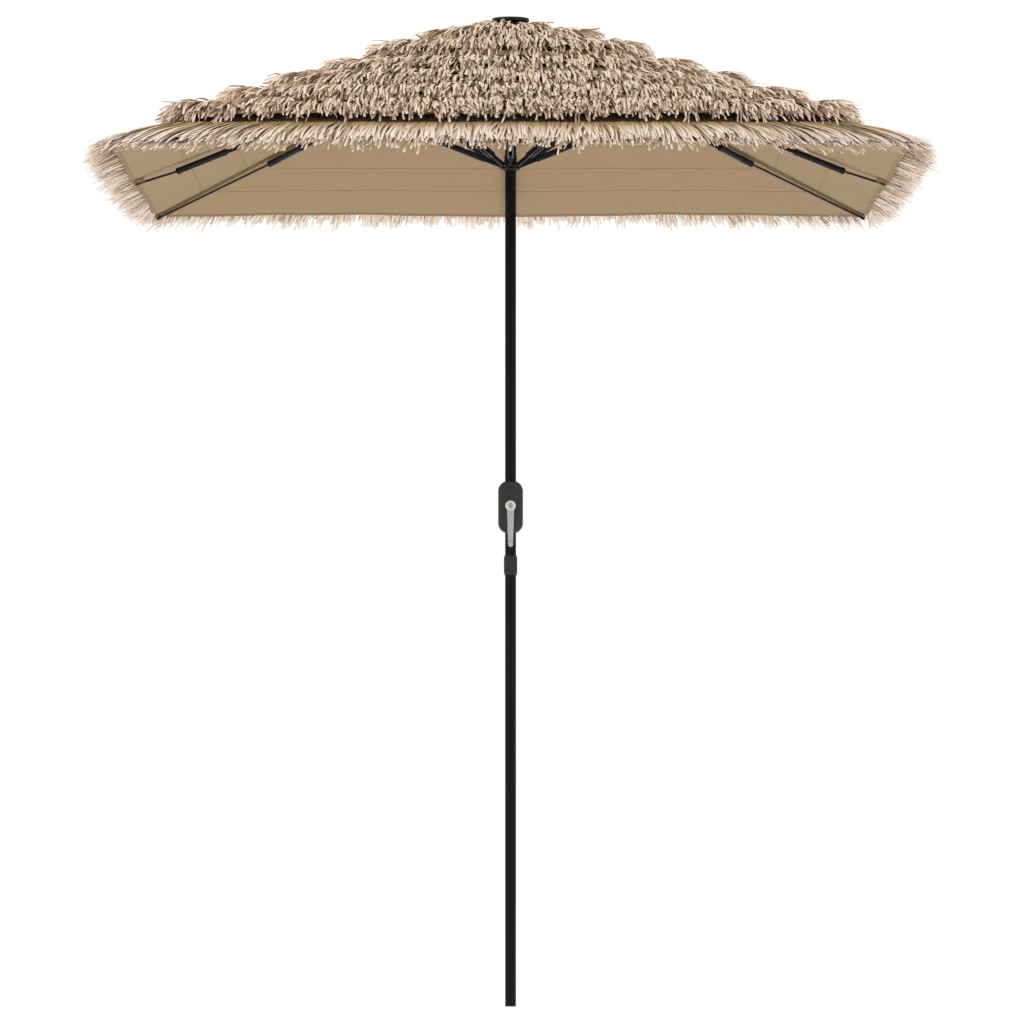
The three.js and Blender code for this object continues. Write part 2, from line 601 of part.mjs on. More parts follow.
// ---- Assembly ----
addPart('lower_pole', lowerPole(), blackPaint);
addPart('upper_pole', upperPole(), blackPaint);
addPart('pole_collar', poleCollar(), darkPlastic);
addPart('foot_plug', footPlug(), blackPlastic);
addPart('housing_front', housingFront(), darkPlastic);
addPart('housing_back', housingBack(), darkPlastic);
addPart('housing_screw_left', housingScrew(-1), bareSteel);
addPart('housing_screw_right', housingScrew(1), bareSteel);
addPart('winding_spool', windingSpool(), blackPlastic);
addPart('crank_shaft', crankShaft(), bareSteel);
addPart('crank_handle', crankHandle(), silverPlastic);
addPart('crank_knob', crankKnob(), silverPlastic);
addPart('top_hub', topHub(), blackPlastic);
addPart('hub_ring', pivotRing(TOP_PIVOT_Z), bareSteel);
addPart('runner', runner(), blackPlastic);
addPart('runner_ring', pivotRing(RUNNER_PIVOT_Z), bareSteel);
addPart('pulley', pulley(), blackPlastic);
addPart('pulley_pin', pulleyPin(), bareSteel);
addPart('lift_cord', liftCord(), whiteCord);
addPart('top_cap', topCap(), blackPlastic);

// The spokes go round from +X. Even ones are side ribs, and odd ones are corner ribs.
const SPOKES = ['right', 'back_right', 'back', 'back_left', 'left', 'front_left', 'front', 'front_right'];

SPOKES.forEach((name, i) => {
  const isCorner = i % 2 === 1;
  const kind = isCorner ? corner : mid;
  const spoke = new THREE.Group();
  spoke.rotation.z = (i * TURN) / 8;
  parts.add(spoke);

  const rib = new THREE.Group();
  rib.position.set(PIVOT_R, 0, TOP_PIVOT_Z);
  rib.rotation.y = kind.angle;
  spoke.add(rib);
  addPart(`rib_bar_${name}`, ribBar(kind), blackPaint, rib);
  addPart(`rib_rod_${name}`, ribRod(kind), blackPlastic, rib);

  const arm = new THREE.Group();
  arm.position.set(PIVOT_R + kind.reach * Math.cos(kind.angle), 0,
    TOP_PIVOT_Z - kind.reach * Math.sin(kind.angle));
  arm.rotation.y = Math.PI - kind.strutAngle;
  spoke.add(arm);
  addPart(`strut_${name}`, strut(kind), blackPaint, arm);

  const side = new THREE.Group(); // a corner sector is built from the side before it
  side.rotation.z = (Math.floor(i / 2) * TURN) / 4;
  parts.add(side);
  addPart(`canopy_cloth_${name}`, clothSector(isCorner), tanCloth, side);
  addPart(`raffia_${name}`, thatchSector(isCorner), straw, side);
});

export default parts;
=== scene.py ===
"""A square thatched beach umbrella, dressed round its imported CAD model. Metres, +Z up, crank towards -Y."""
import json
from math import atan, atan2, cos, hypot, pi, radians, sin, sqrt
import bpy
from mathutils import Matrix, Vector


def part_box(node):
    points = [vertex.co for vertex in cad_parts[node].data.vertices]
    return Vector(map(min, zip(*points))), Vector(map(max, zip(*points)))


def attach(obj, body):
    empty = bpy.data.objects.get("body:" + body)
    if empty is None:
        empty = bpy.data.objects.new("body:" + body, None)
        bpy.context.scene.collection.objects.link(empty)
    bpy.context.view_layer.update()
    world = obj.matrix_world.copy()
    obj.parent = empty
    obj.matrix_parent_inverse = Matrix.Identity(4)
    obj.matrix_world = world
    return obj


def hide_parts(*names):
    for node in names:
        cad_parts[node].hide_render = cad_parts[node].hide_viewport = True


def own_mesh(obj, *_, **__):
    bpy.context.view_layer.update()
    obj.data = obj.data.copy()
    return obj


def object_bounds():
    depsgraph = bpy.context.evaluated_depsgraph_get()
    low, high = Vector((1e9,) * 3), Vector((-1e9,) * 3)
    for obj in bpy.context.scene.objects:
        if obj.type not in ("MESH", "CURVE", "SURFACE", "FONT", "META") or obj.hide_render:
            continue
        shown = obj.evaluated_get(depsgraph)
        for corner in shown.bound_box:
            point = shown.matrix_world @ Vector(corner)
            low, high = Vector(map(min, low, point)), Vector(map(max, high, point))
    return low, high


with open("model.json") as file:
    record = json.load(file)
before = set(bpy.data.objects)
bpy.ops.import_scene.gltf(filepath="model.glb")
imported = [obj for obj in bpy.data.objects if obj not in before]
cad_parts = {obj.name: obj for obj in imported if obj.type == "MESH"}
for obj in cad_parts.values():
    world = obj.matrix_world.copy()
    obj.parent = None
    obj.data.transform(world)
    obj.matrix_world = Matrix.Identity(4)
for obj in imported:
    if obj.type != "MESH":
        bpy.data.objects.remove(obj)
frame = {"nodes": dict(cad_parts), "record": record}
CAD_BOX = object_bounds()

from types import SimpleNamespace

import bmesh
import bpy
import numpy as np
from mathutils import Matrix, Vector

MM = 0.001
TURN = 2 * pi

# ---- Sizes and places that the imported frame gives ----
BEHAVIOUR = frame["record"]["behaviour"]
JOINTS = {joint["name"]: joint for joint in BEHAVIOUR["joints"]}
SPOKES = ["right", "back_right", "back", "back_left", "left", "front_left", "front", "front_right"]
SPOKE_STEP = TURN / len(SPOKES)


def fold_joint(name):
    """The joint that folds a spoke's rib. The back one drives the others."""
    return "canopy_fold" if name == "back" else "rib_fold_" + name


HUB_PIVOT_Z = JOINTS["canopy_fold"]["pos_m"][2]
PIVOT_R = JOINTS["canopy_fold"]["pos_m"][1]
RUNNER_PIVOT_Z = JOINTS["runner_pivot"]["pos_m"][2]
CRANK_Z = JOINTS["crank_turn"]["pos_m"][2]
KNOB_Z = JOINTS["knob_spin"]["pos_m"][2]
CLOTH_LOW, CLOTH_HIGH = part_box("canopy_cloth_right")
CLOTH_HALF = CLOTH_HIGH.x  # half the width of the square cloth
CLOTH_THICK = 1.2 * MM  # of the solid that stands for the cloth
EDGE_Z = CLOTH_LOW.z + CLOTH_THICK / 2
TOP_Z = CLOTH_HIGH.z - CLOTH_THICK / 2
TOP_HALF = 27 * MM  # half the width of the flat top over the hub
HOLE_HALF = CLOTH_LOW.x
SLOPE = (TOP_Z - EDGE_Z) / (CLOTH_HALF - TOP_HALF)
SLOPE_ANGLE = atan(SLOPE)
FRINGE = CAD_BOX[1].x - CLOTH_HALF  # how far the raffia reaches past the cloth
POLE_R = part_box("lower_pole")[1].x
CAP_LOW, CAP_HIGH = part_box("top_cap")


def cloth_z(reach):
    """Height of the untouched cloth at a distance from the pole, measured square to the edge."""
    return TOP_Z - SLOPE * np.maximum(reach - TOP_HALF, 0.0)


# ---- Mesh forms: each gives (vertices, faces) ----
def loft(loops, ring=False, caps=True):
    """A skin over loops of points that all have the same count."""
    count, rows = len(loops[0]), len(loops)
    faces = []
    for row in range(rows if ring else rows - 1):
        a, b = row * count, (row + 1) % rows * count
        faces += [(a + i, a + (i + 1) % count, b + (i + 1) % count, b + i) for i in range(count)]
    if caps and not ring:
        faces.append(tuple(range(count - 1, -1, -1)))
        faces.append(tuple(range((rows - 1) * count, rows * count)))
    return np.concatenate(loops), faces


def fillet(points, radius, steps=3, closed=True):
    """The outline with its corners rounded."""
    points = np.array(points, float)
    last = len(points) - 1
    out = []
    for i, corner in enumerate(points):
        if not closed and i in (0, last):
            out.append(corner)
            continue
        before, after = points[i - 1] - corner, points[(i + 1) % len(points)] - corner
        reach_before, reach_after = np.linalg.norm(before), np.linalg.norm(after)
        cut = min(radius, reach_before / 2.2, reach_after / 2.2)
        start, end = corner + before / reach_before * cut, corner + after / reach_after * cut
        for t in np.linspace(0, 1, steps + 1):
            out.append((1 - t) ** 2 * start + 2 * t * (1 - t) * corner + t * t * end)
    return np.array(out)


def turned(profile, sides=64, ring=False, facet=None):
    """A profile of (radius, z) turned about Z. facet scales the radius at each angle."""
    angles = np.arange(sides) * TURN / sides
    scale = np.ones(sides) if facet is None else facet(angles)
    x, y = np.cos(angles) * scale, np.sin(angles) * scale
    loops = [np.stack([radius * x, radius * y, np.full(sides, z)], axis=1) for radius, z in profile]
    return loft(loops, ring)


def inset(outline, distance):
    """A convex outline, run anticlockwise, moved inwards."""
    ahead, behind = np.roll(outline, -1, axis=0) - outline, outline - np.roll(outline, 1, axis=0)
    ahead /= np.linalg.norm(ahead, axis=1)[:, None]
    behind /= np.linalg.norm(behind, axis=1)[:, None]
    inwards = np.stack([-(ahead + behind)[:, 1], (ahead + behind)[:, 0]], axis=1)
    length = np.linalg.norm(inwards, axis=1)
    return outline + inwards / length[:, None] * (distance / np.maximum(length / 2, 0.3))[:, None]


def prism(outline, low, high, round_low=0.0, round_high=0.0, steps=3):
    """A flat outline in (x, y) drawn out from low to high along Z, with rounded rims."""
    outline = np.array(outline, float)
    rows = []
    for rim, radius, side in ((low, round_low, 1), (high, round_high, -1)):
        angles = np.linspace(0, pi / 2, steps + 1) if radius else [pi / 2]
        rim_rows = [(rim + side * radius * (1 - cos(a)), radius * (1 - sin(a))) for a in angles]
        rows += rim_rows if side > 0 else rim_rows[::-1]
    loops = [np.column_stack([inset(outline, by) if by > 1e-7 else outline, np.full(len(outline), z)])
             for z, by in rows]
    return loft(loops)


def tube(path, radius, sides=10, ring=False):
    """A round tube along points."""
    path = np.array(path, float)
    ahead = np.roll(path, -1, axis=0) - np.roll(path, 1, axis=0) if ring else np.gradient(path, axis=0)
    angles = np.arange(sides) * TURN / sides
    loops = []
    side = None
    for point, tangent in zip(path, ahead):
        tangent = tangent / np.linalg.norm(tangent)
        if side is None:
            side = np.cross(tangent, (0.12, 0.3, 1.0) if abs(tangent[2]) < 0.9 else (1.0, 0.2, 0.1))
        side = side - tangent * (side @ tangent)
        side /= np.linalg.norm(side)
        other = np.cross(tangent, side)
        loops.append(point + radius * (np.cos(angles)[:, None] * side + np.sin(angles)[:, None] * other))
    return loft(loops, ring)


def spun(profile, rounding, steps, sides=64):
    """An open profile of (radius, z) with its corners rounded, turned about Z."""
    return turned(fillet(profile, rounding, steps, closed=False), sides)


def moved(x, y, z):
    return Matrix.Translation((x, y, z))


def rotation(angle, axis):
    return Matrix.Rotation(angle, 4, axis)


def box_outline(x0, x1, y0, y1):
    return np.array([[x0, y0], [x1, y0], [x1, y1], [x0, y1]])


class Form:
    """One piece's mesh, gathered from several forms, each with a material number."""

    def __init__(self, matrix=None):
        self.vertices, self.faces, self.slots = [], [], []
        self.matrix = matrix or Matrix.Identity(4)

    def add(self, form, slot=0, matrix=None):
        vertices, faces = form
        placed = self.matrix @ (matrix or Matrix.Identity(4))
        start = len(self.vertices)
        turn, shift = np.array(placed.to_3x3()), np.array(placed.translation)
        self.vertices += [tuple(point) for point in vertices @ turn.T + shift]
        self.faces += [tuple(start + i for i in face) for face in faces]
        self.slots += [slot] * len(faces)
        return self

    def build(self, name, materials, sharp=35):
        mesh = bpy.data.meshes.new(name)
        mesh.from_pydata(self.vertices, [], self.faces)
        mesh.polygons.foreach_set("material_index", self.slots)
        work = bmesh.new()
        work.from_mesh(mesh)
        bmesh.ops.recalc_face_normals(work, faces=work.faces)
        work.to_mesh(mesh)
        work.free()
        return finished(name, mesh, materials, sharp)


def finished(name, mesh, materials, sharp=35):
    """The object of a mesh, smooth but for edges sharper than the angle."""
    for material in materials:
        mesh.materials.append(material)
    mesh.shade_smooth()
    mesh.set_sharp_from_angle(angle=radians(sharp))
    piece = bpy.data.objects.new(name, mesh)
    bpy.context.scene.collection.objects.link(piece)
    return piece


def place(piece, body, slot, *nodes):
    """The piece rides on a body, and the CAD nodes it stands for are hidden. The slot is not used."""
    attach(piece, body)
    if nodes:
        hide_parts(*nodes)
    return piece


# ---- Materials ----
class Nodes:
    """Short calls for the nodes of one material."""

    def __init__(self, name):
        self.material = bpy.data.materials.new(name)
        self.material.use_nodes = True
        self.tree = self.material.node_tree
        self.shader = self.tree.nodes["Principled BSDF"]

    def feed(self, node, socket, value):
        target = node.inputs[socket]
        if isinstance(value, bpy.types.NodeSocket):
            self.tree.links.new(value, target)
        else:
            target.default_value = value

    def add(self, kind, inputs=(), **settings):
        node = self.tree.nodes.new("ShaderNode" + kind)
        for key, value in settings.items():
            setattr(node, key, value)
        for socket, value in dict(inputs).items():
            self.feed(node, socket, value)
        return node

    def math(self, operation, a, b=0.0, c=0.0):
        return self.add("Math", {0: a, 1: b, 2: c}, operation=operation).outputs[0]

    def noise(self, coordinates, scale, detail=3.0, stretch=(1, 1, 1)):
        mapped = self.add("Mapping", {"Vector": coordinates, "Scale": stretch}).outputs[0]
        return self.add("TexNoise", {"Vector": mapped, "Scale": scale, "Detail": detail}).outputs["Fac"]

    def ramp(self, factor, stops):
        node = self.add("ValToRGB", {"Fac": factor})
        elements = node.color_ramp.elements
        for (position, colour), element in zip(stops, [elements[0], elements[1]]):
            element.position, element.color = position, (*colour, 1)
        for position, colour in stops[2:]:
            elements.new(position).color = (*colour, 1)
        return node.outputs["Color"]

    def span(self, factor, low, high, from_low=0.0, from_high=1.0):
        return self.add("MapRange", {"Value": factor, "From Min": from_low, "From Max": from_high,
                                     "To Min": low, "To Max": high}).outputs[0]

    def bump(self, height, distance, strength=1.0, below=None):
        inputs = {"Height": height, "Distance": distance, "Strength": strength}
        if below is not None:
            inputs["Normal"] = below
        return self.add("Bump", inputs).outputs[0]

    def set(self, **sockets):
        for socket, value in sockets.items():
            self.feed(self.shader, socket.replace("_", " "), value)
        return self.material

    def position(self):
        return self.add("TexCoord").outputs["Object"]

    def uv(self):
        return self.add("TexCoord").outputs["UV"]


def linear(red, green, blue):
    """A display colour, 0 to 255, as the shader's linear one."""
    return tuple((c / 255 / 12.92) if c <= 10 else ((c / 255 + 0.055) / 1.055) ** 2.4
                 for c in (red, green, blue))


def moulded(name, colour, roughness, grain=0.00004, scale=1800.0, tint=0.12, specular=0.4):
    """Moulded plastic: a fine spark-eroded grain and slight cloudiness."""
    nodes = Nodes(name)
    at = nodes.position()
    clouds = nodes.noise(at, 22.0)
    dark, light = [tuple(c * (1 + side * tint) for c in colour) for side in (-1, 1)]
    rough = nodes.span(nodes.noise(at, 90.0), roughness - 0.06, roughness + 0.08)
    normal = nodes.bump(nodes.noise(at, scale, 2.0), grain)
    return nodes.set(Base_Color=nodes.ramp(clouds, [(0.3, dark), (0.7, light)]), Roughness=rough,
                     Normal=normal, Specular_IOR_Level=specular)


def powder_coat(name, colour, roughness, specular=0.3):
    """Black powder coat on steel: a faint orange peel with paler rub marks."""
    nodes = Nodes(name)
    at = nodes.position()
    rubbed = nodes.noise(at, 35.0, 5.0, (1, 1, 0.12))
    worn = tuple(c * 1.7 + 0.004 for c in colour)
    rough = nodes.span(nodes.noise(at, 60.0), roughness - 0.05, roughness + 0.1)
    normal = nodes.bump(nodes.noise(at, 700.0, 2.0), 0.00003, 0.6)
    return nodes.set(Base_Color=nodes.ramp(rubbed, [(0.45, colour), (0.85, worn)]), Roughness=rough,
                     Normal=normal, Specular_IOR_Level=specular)


def steel(name):
    """Drawn steel wire and turned pins."""
    nodes = Nodes(name)
    at = nodes.position()
    drawn = nodes.noise(at, 500.0, 4.0, (1, 1, 0.2))
    shade = nodes.ramp(drawn, [(0.3, (0.36, 0.37, 0.39)), (0.75, (0.62, 0.63, 0.65))])
    return nodes.set(Base_Color=shade, Roughness=nodes.span(drawn, 0.24, 0.42), Metallic=1.0,
                     Normal=nodes.bump(drawn, 0.00002))


def woven(name, colour, pitch=0.0009, contrast=0.10, mottle=0.05, stitch=None):
    """Plain-woven polyester. UV is in metres. stitch is (distance from the middle, colour) of sewn lines."""
    nodes = Nodes(name)
    uv = nodes.uv()
    split = nodes.add("SeparateXYZ", {"Vector": uv})
    across, along = split.outputs["X"], split.outputs["Y"]
    over = nodes.math("SINE", nodes.math("MULTIPLY", across, TURN / pitch))
    under = nodes.math("SINE", nodes.math("MULTIPLY", along, TURN / pitch))
    weave = nodes.math("MULTIPLY", over, under)
    slubs = nodes.math("ADD", nodes.noise(uv, 260.0, 2.0, (1, 0.06, 1)),
                       nodes.noise(uv, 260.0, 2.0, (0.06, 1, 1)))
    clouds = nodes.noise(uv, 6.0, 3.0)
    tone = nodes.math("ADD", nodes.span(slubs, -contrast, contrast, 0.4, 1.6),
                      nodes.span(clouds, -mottle, mottle))
    dark, light = [tuple(c * k for c in colour) for k in (0.72, 1.28)]
    shade = nodes.ramp(nodes.math("ADD", tone, 0.5), [(0.0, dark), (1.0, light)])
    height = nodes.math("ADD", weave, nodes.math("MULTIPLY", slubs, 0.8))
    if stitch:
        distance, thread = stitch
        off = nodes.math("ABSOLUTE", nodes.math("SUBTRACT", nodes.math("ABSOLUTE", across), distance))
        on_line = nodes.math("LESS_THAN", off, 0.0006)
        dash = nodes.math("LESS_THAN", nodes.math("FRACT", nodes.math("DIVIDE", along, 0.0042)), 0.7)
        sewn = nodes.math("MULTIPLY", on_line, dash)
        shade = nodes.add("Mix", {0: sewn, 6: shade, 7: (*thread, 1)}, data_type="RGBA").outputs[2]
        height = nodes.math("ADD", height, nodes.math("MULTIPLY", sewn, 3.0))
    return nodes.set(Base_Color=shade, Roughness=0.85, Normal=nodes.bump(height, 0.00012, 0.8),
                     Specular_IOR_Level=0.08)


def raffia_fibre():
    """Paper raffia: every strip has its own tone, with fibres along it. The tone also carries painted shade,
    dark olive at the roots and under each row, and paler ends that are partly painted light through the thin
    tips.
    """
    nodes = Nodes("raffia_fibre")
    tone = nodes.add("Attribute", attribute_name="tone").outputs["Fac"]
    uv = nodes.uv()
    fibres = nodes.noise(uv, 30.0, 3.0, (60, 1, 1))
    blotches = nodes.noise(uv, 60.0, 2.0, (1, 1, 1))
    mixed = nodes.math("ADD", tone, nodes.math("ADD", nodes.span(fibres, -0.06, 0.06),
                                               nodes.span(blotches, -0.05, 0.05)))
    # the dark olive low end of the ramp is painted shade; the pale high end is partly painted light
    shade = nodes.ramp(mixed, [(0.0, linear(126, 102, 52)), (1.0, linear(232, 220, 210)),
                               (0.25, linear(182, 154, 112)), (0.5, linear(211, 184, 152)),
                               (0.75, linear(224, 204, 184))])
    normal = nodes.bump(fibres, 0.0004, 0.7)
    return nodes.set(Base_Color=shade, Roughness=0.62, Normal=normal, Specular_IOR_Level=0.25,
                     Sheen_Weight=0.1)


def braided_cord():
    nodes = Nodes("braided_cord")
    at = nodes.position()
    split = nodes.add("SeparateXYZ", {"Vector": at})
    twist = nodes.math("SINE", nodes.math("MULTIPLY", split.outputs["Z"], TURN / 0.0022))
    dark, light = (0.42, 0.4, 0.35), (0.74, 0.72, 0.66)
    shade = nodes.ramp(nodes.span(twist, 0, 1, -1, 1), [(0.1, dark), (0.8, light)])
    return nodes.set(Base_Color=shade, Roughness=0.8, Normal=nodes.bump(twist, 0.0002))


def floor_paint():
    """White that glows a little, so that the floor runs into the background."""
    nodes = Nodes("floor_paint")
    grey, white = (0.93, 0.93, 0.93), (0.96, 0.96, 0.96)
    shade = nodes.ramp(nodes.noise(nodes.position(), 0.8), [(0.3, grey), (0.7, white)])
    return nodes.set(Base_Color=shade, Roughness=1.0, Specular_IOR_Level=0.0,
                     Emission_Color=(1, 1, 1, 1), Emission_Strength=0.26)


BLACK_COAT = powder_coat("black_coat", (0.0036, 0.0036, 0.0042), 0.34, 0.09)
RIB_COAT = powder_coat("rib_coat", (0.007, 0.007, 0.009), 0.34, 0.2)
# pale lilac-grey for the thin strips along the struts' flange edges, which paint their highlight
EDGE_HIGHLIGHT = powder_coat("edge_highlight", (0.26, 0.26, 0.29), 0.4)
COLLAR_PLASTIC = moulded("collar_plastic", (0.020, 0.020, 0.021), 0.5, specular=0.25)
HOUSING_PLASTIC = moulded("housing_plastic", (0.026, 0.024, 0.029), 0.5, specular=0.25)
# a lighter grey for the bands on the housing's rounded edges, which paints their highlight
HOUSING_HIGHLIGHT_BAND = moulded("housing_highlight_band", (0.060, 0.059, 0.066), 0.45)
BLACK_PLASTIC = moulded("black_plastic", (0.008, 0.008, 0.009), 0.45, specular=0.2)
SILVER_PLASTIC = moulded("silver_plastic", (0.36, 0.36, 0.36), 0.4, tint=0.05)
CREAM_PLASTIC = moulded("cream_plastic", (0.54, 0.53, 0.49), 0.35, tint=0.04)
OLIVE_PLASTIC = moulded("olive_plastic", (0.27, 0.26, 0.22), 0.4, tint=0.08)
STEEL = steel("bare_steel")
CANVAS = woven("canvas", linear(162, 138, 109))
HEM_CANVAS = woven("hem_canvas", linear(152, 129, 101), stitch=(0.003, linear(132, 110, 84)))
SEAM_CANVAS = woven("seam_canvas", linear(122, 102, 66), stitch=(0.009, linear(98, 80, 52)))
POCKET_CANVAS = woven("pocket_canvas", linear(132, 110, 78), pitch=0.0012)
THREAD = woven("thread", linear(92, 74, 48), pitch=0.0006)
SEAM_LINE = woven("seam_line", linear(156, 133, 106), stitch=(0.0, linear(142, 120, 93)))
RAFFIA = raffia_fibre()
CORD = braided_cord()

# ---- Camera, light and floor ----
CAMERA_DISTANCE = 14.83
CAMERA_HEIGHT = 0.574
SENSOR = 36.0
SEEN_WIDTH = 2.5088  # of the view, at the pole
SHIFT = (0.0014, 0.254)
AMBIENT = 0.8  # of the white surroundings, as the object sees them
AIM = Vector((0, 0, 1.8))  # where the lamps point
FLOOR_HALF = 60.0


def camera():
    data = bpy.data.cameras.new("camera")
    data.sensor_width = SENSOR
    data.lens = SENSOR * CAMERA_DISTANCE / SEEN_WIDTH
    data.shift_x, data.shift_y = SHIFT
    data.clip_end = 200
    eye = bpy.data.objects.new("camera", data)
    eye.location = (0, -CAMERA_DISTANCE, CAMERA_HEIGHT)
    eye.rotation_euler = (pi / 2, 0, 0)
    bpy.context.scene.collection.objects.link(eye)
    bpy.context.scene.camera = eye


def softbox(name, place_at, size, power):
    data = bpy.data.lights.new(name, "AREA")
    data.size = size
    data.energy = power
    lamp = bpy.data.objects.new(name, data)
    lamp.location = place_at
    lamp.rotation_euler = (AIM - Vector(place_at)).to_track_quat("-Z", "Y").to_euler()
    bpy.context.scene.collection.objects.link(lamp)


def studio():
    world = bpy.data.worlds.new("studio")
    world.use_nodes = True
    tree = world.node_tree
    background = tree.nodes["Background"]
    background.inputs["Color"].default_value = (1, 1, 1, 1)
    # white behind the object, but a softer light on it
    seen = tree.nodes.new("ShaderNodeLightPath").outputs["Is Camera Ray"]
    strength = tree.nodes.new("ShaderNodeMapRange")
    strength.inputs["To Min"].default_value = AMBIENT
    tree.links.new(seen, strength.inputs["Value"])
    tree.links.new(strength.outputs[0], background.inputs["Strength"])
    bpy.context.scene.world = world
    bpy.context.scene.view_settings.view_transform = "Standard"
    softbox("key", (-3.5, -4.5, 5.5), 3.0, 190)
    softbox("fill", (4.5, -3.0, 3.5), 3.0, 60)
    slab = prism(box_outline(-FLOOR_HALF, FLOOR_HALF, -FLOOR_HALF, FLOOR_HALF), -0.02, 0.0)
    Form().add(slab).build("floor", [floor_paint()])


# ---- Pole ----
BORE_GAP = 0.3 * MM  # round the pole, inside the parts that fit over it


def about_y(y, z, x=0.0):
    """Turns a form made along Z so that it runs along +Y from a point."""
    return moved(x, y, z) @ rotation(-pi / 2, "X")


def smooth_node(name, material, sharp=35):
    """A CAD node whose shape is right: it gets a material and smooth shading."""
    piece = frame["nodes"][name]
    piece.data.materials.clear()
    piece.data.materials.append(material)
    piece.data.shade_smooth()
    piece.data.set_sharp_from_angle(angle=radians(sharp))


def tube_wall(low, high, outer, wall, lip=0.6 * MM, sides=96):
    profile = fillet([[outer, low], [outer, high], [outer - wall, high], [outer - wall, low]], lip, 2)
    return turned(profile, sides, ring=True)


def lower_pole():
    low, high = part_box("lower_pole")
    form = Form().add(tube_wall(low.z, high.z, POLE_R, 1.2 * MM))
    place(form.build("lower_tube", [BLACK_COAT]), "root", "black_paint", "lower_pole")


def pole_collar():
    """A sleeve with chamfered ends and fine upright ribs, and a thin ring at each end."""
    low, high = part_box("pole_collar")
    radius, chamfer, bore = high.x, 4 * MM, POLE_R + BORE_GAP
    lip = bore + 0.9 * MM
    profile = fillet([[bore, low.z], [lip, low.z], [radius, low.z + chamfer],
                      [radius, high.z - chamfer], [lip, high.z], [bore, high.z]], 0.8 * MM)
    form = Form().add(turned(profile, 96, ring=True))
    ribs, rib_inset = 40, chamfer + 3 * MM
    section = fillet(box_outline(-0.45 * MM, 0.45 * MM, -0.3 * MM, 0.35 * MM), 0.3 * MM, 2)
    bar = prism(section, low.z + rib_inset, high.z - rib_inset, 0.25 * MM, 0.25 * MM, 2)
    for i in range(ribs):
        turn = rotation(i * TURN / ribs, "Z") @ moved(radius - 0.02 * MM, 0, 0)
        form.add(bar, 0, turn @ rotation(-pi / 2, "Z"))
    place(form.build("collar", [COLLAR_PLASTIC]), "root", "dark_grey_plastic", "pole_collar")


def foot_plug():
    """A flange as wide as the pole, under a spigot that goes up inside it."""
    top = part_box("foot_plug")[1].z
    inner, spigot, flange = 9 * MM, 11.9 * MM, 4 * MM
    profile = [[inner, 0], [POLE_R, 0], [POLE_R, flange], [spigot, flange], [spigot, top], [inner, top]]
    form = Form().add(spun(profile, 0.9 * MM, 3))
    place(form.build("foot", [BLACK_PLASTIC]), "root", "black_plastic", "foot_plug")


# ---- Crank ----
HOUSING_ROUND = 6 * MM
HOUSING_CORNER = 25 * MM
PARTING = 0.15 * MM  # half the gap between the housing's halves


def rounded_oblong(width, height, radius, steps=10):
    x, z = width / 2, height / 2
    centres = [(x - radius, -z + radius, -90), (x - radius, z - radius, 0),
               (-x + radius, z - radius, 90), (-x + radius, -z + radius, 180)]
    return np.array([[cx + radius * cos(a), cz + radius * sin(a)]
                     for cx, cz, start in centres
                     for a in np.radians(np.linspace(start, start + 90, steps + 1))])


def upright(y, z):
    """Turns a form drawn in (x, y) along Z so that its outline stands in (x, z) and it runs to -Y."""
    return moved(0, y, z) @ rotation(pi / 2, "X")


def housing_half(node, depth, facing):
    """Half of the crank's housing. Its depth runs from the parting plane to its rounded face."""
    low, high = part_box(node)
    middle = (low.z + high.z) / 2
    outline = rounded_oblong(high.x - low.x, high.z - low.z, HOUSING_CORNER)
    turn = upright(0, middle) if facing < 0 else upright(0, middle) @ rotation(pi, "Y")
    return Form(turn).add(prism(outline, PARTING, depth, 0.5 * MM, HOUSING_ROUND, 6))


def housing_front():
    """The front half, with a raised oblong plate, the handle's seat, two steps and a band down each side."""
    low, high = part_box("housing_front")
    depth = 36 * MM
    form = housing_half("housing_front", depth, -1)
    plate_w, plate_h = 36 * MM, 96 * MM
    plate = rounded_oblong(plate_w, plate_h, plate_w / 2 - 1 * MM)
    form.add(prism(plate, depth - 1 * MM, depth + 1.4 * MM, 0, 1.1 * MM, 4))
    # a round seat for the handle, and two steps over it
    inner, rim, outer, floor = 1 * MM, 14.8 * MM, 16.2 * MM, 0.4 * MM
    seat = [[inner, 0], [outer, 0], [outer, 1 * MM], [rim, 1 * MM], [rim, floor], [inner, floor]]
    middle = (low.z + high.z) / 2
    form.add(spun(seat, 0.3 * MM, 2), 0, moved(0, CRANK_Z - middle, depth + 1.2 * MM))
    for step in range(2):
        z0 = (high.z - low.z) / 2 - (24 + step * 5) * MM
        bar = fillet(box_outline(-14 * MM, 14 * MM, z0, z0 + 1.4 * MM), 0.6 * MM, 2)
        form.add(prism(bar, depth + 1 * MM, depth + 2.0 * MM, 0, 0.5 * MM, 2))
    # a raised band down each side, in a lighter plastic that paints the highlight on the housing's rounded
    # edges
    for side in (-1, 1):
        x = side * 24.2 * MM
        band = fillet(box_outline(x - 2.6 * MM, x + 2.6 * MM, -34 * MM, 38 * MM), 2.4 * MM, 5)
        form.add(prism(band, depth - 3.2 * MM, depth - 0.9 * MM, 0, 1.2 * MM, 3), 1)
    piece = form.build("crank_case_front", [HOUSING_PLASTIC, HOUSING_HIGHLIGHT_BAND])
    place(piece, "root", "dark_grey_plastic", "housing_front")


def housing_back():
    """The back half, with two columns of five short fins."""
    depth = 23 * MM
    form = housing_half("housing_back", depth, 1)
    for side in (-1, 1):
        x = side * 8 * MM
        for step in range(5):
            z = (step - 2) * 8 * MM
            fin = fillet(box_outline(x - 4 * MM, x + 4 * MM, z - 1 * MM, z + 1 * MM), 0.9 * MM, 3)
            form.add(prism(fin, depth - 0.5 * MM, depth + 0.6 * MM, 0, 0.6 * MM, 3))
    piece = form.build("crank_case_back", [HOUSING_PLASTIC])
    place(piece, "root", "dark_grey_plastic", "housing_back")


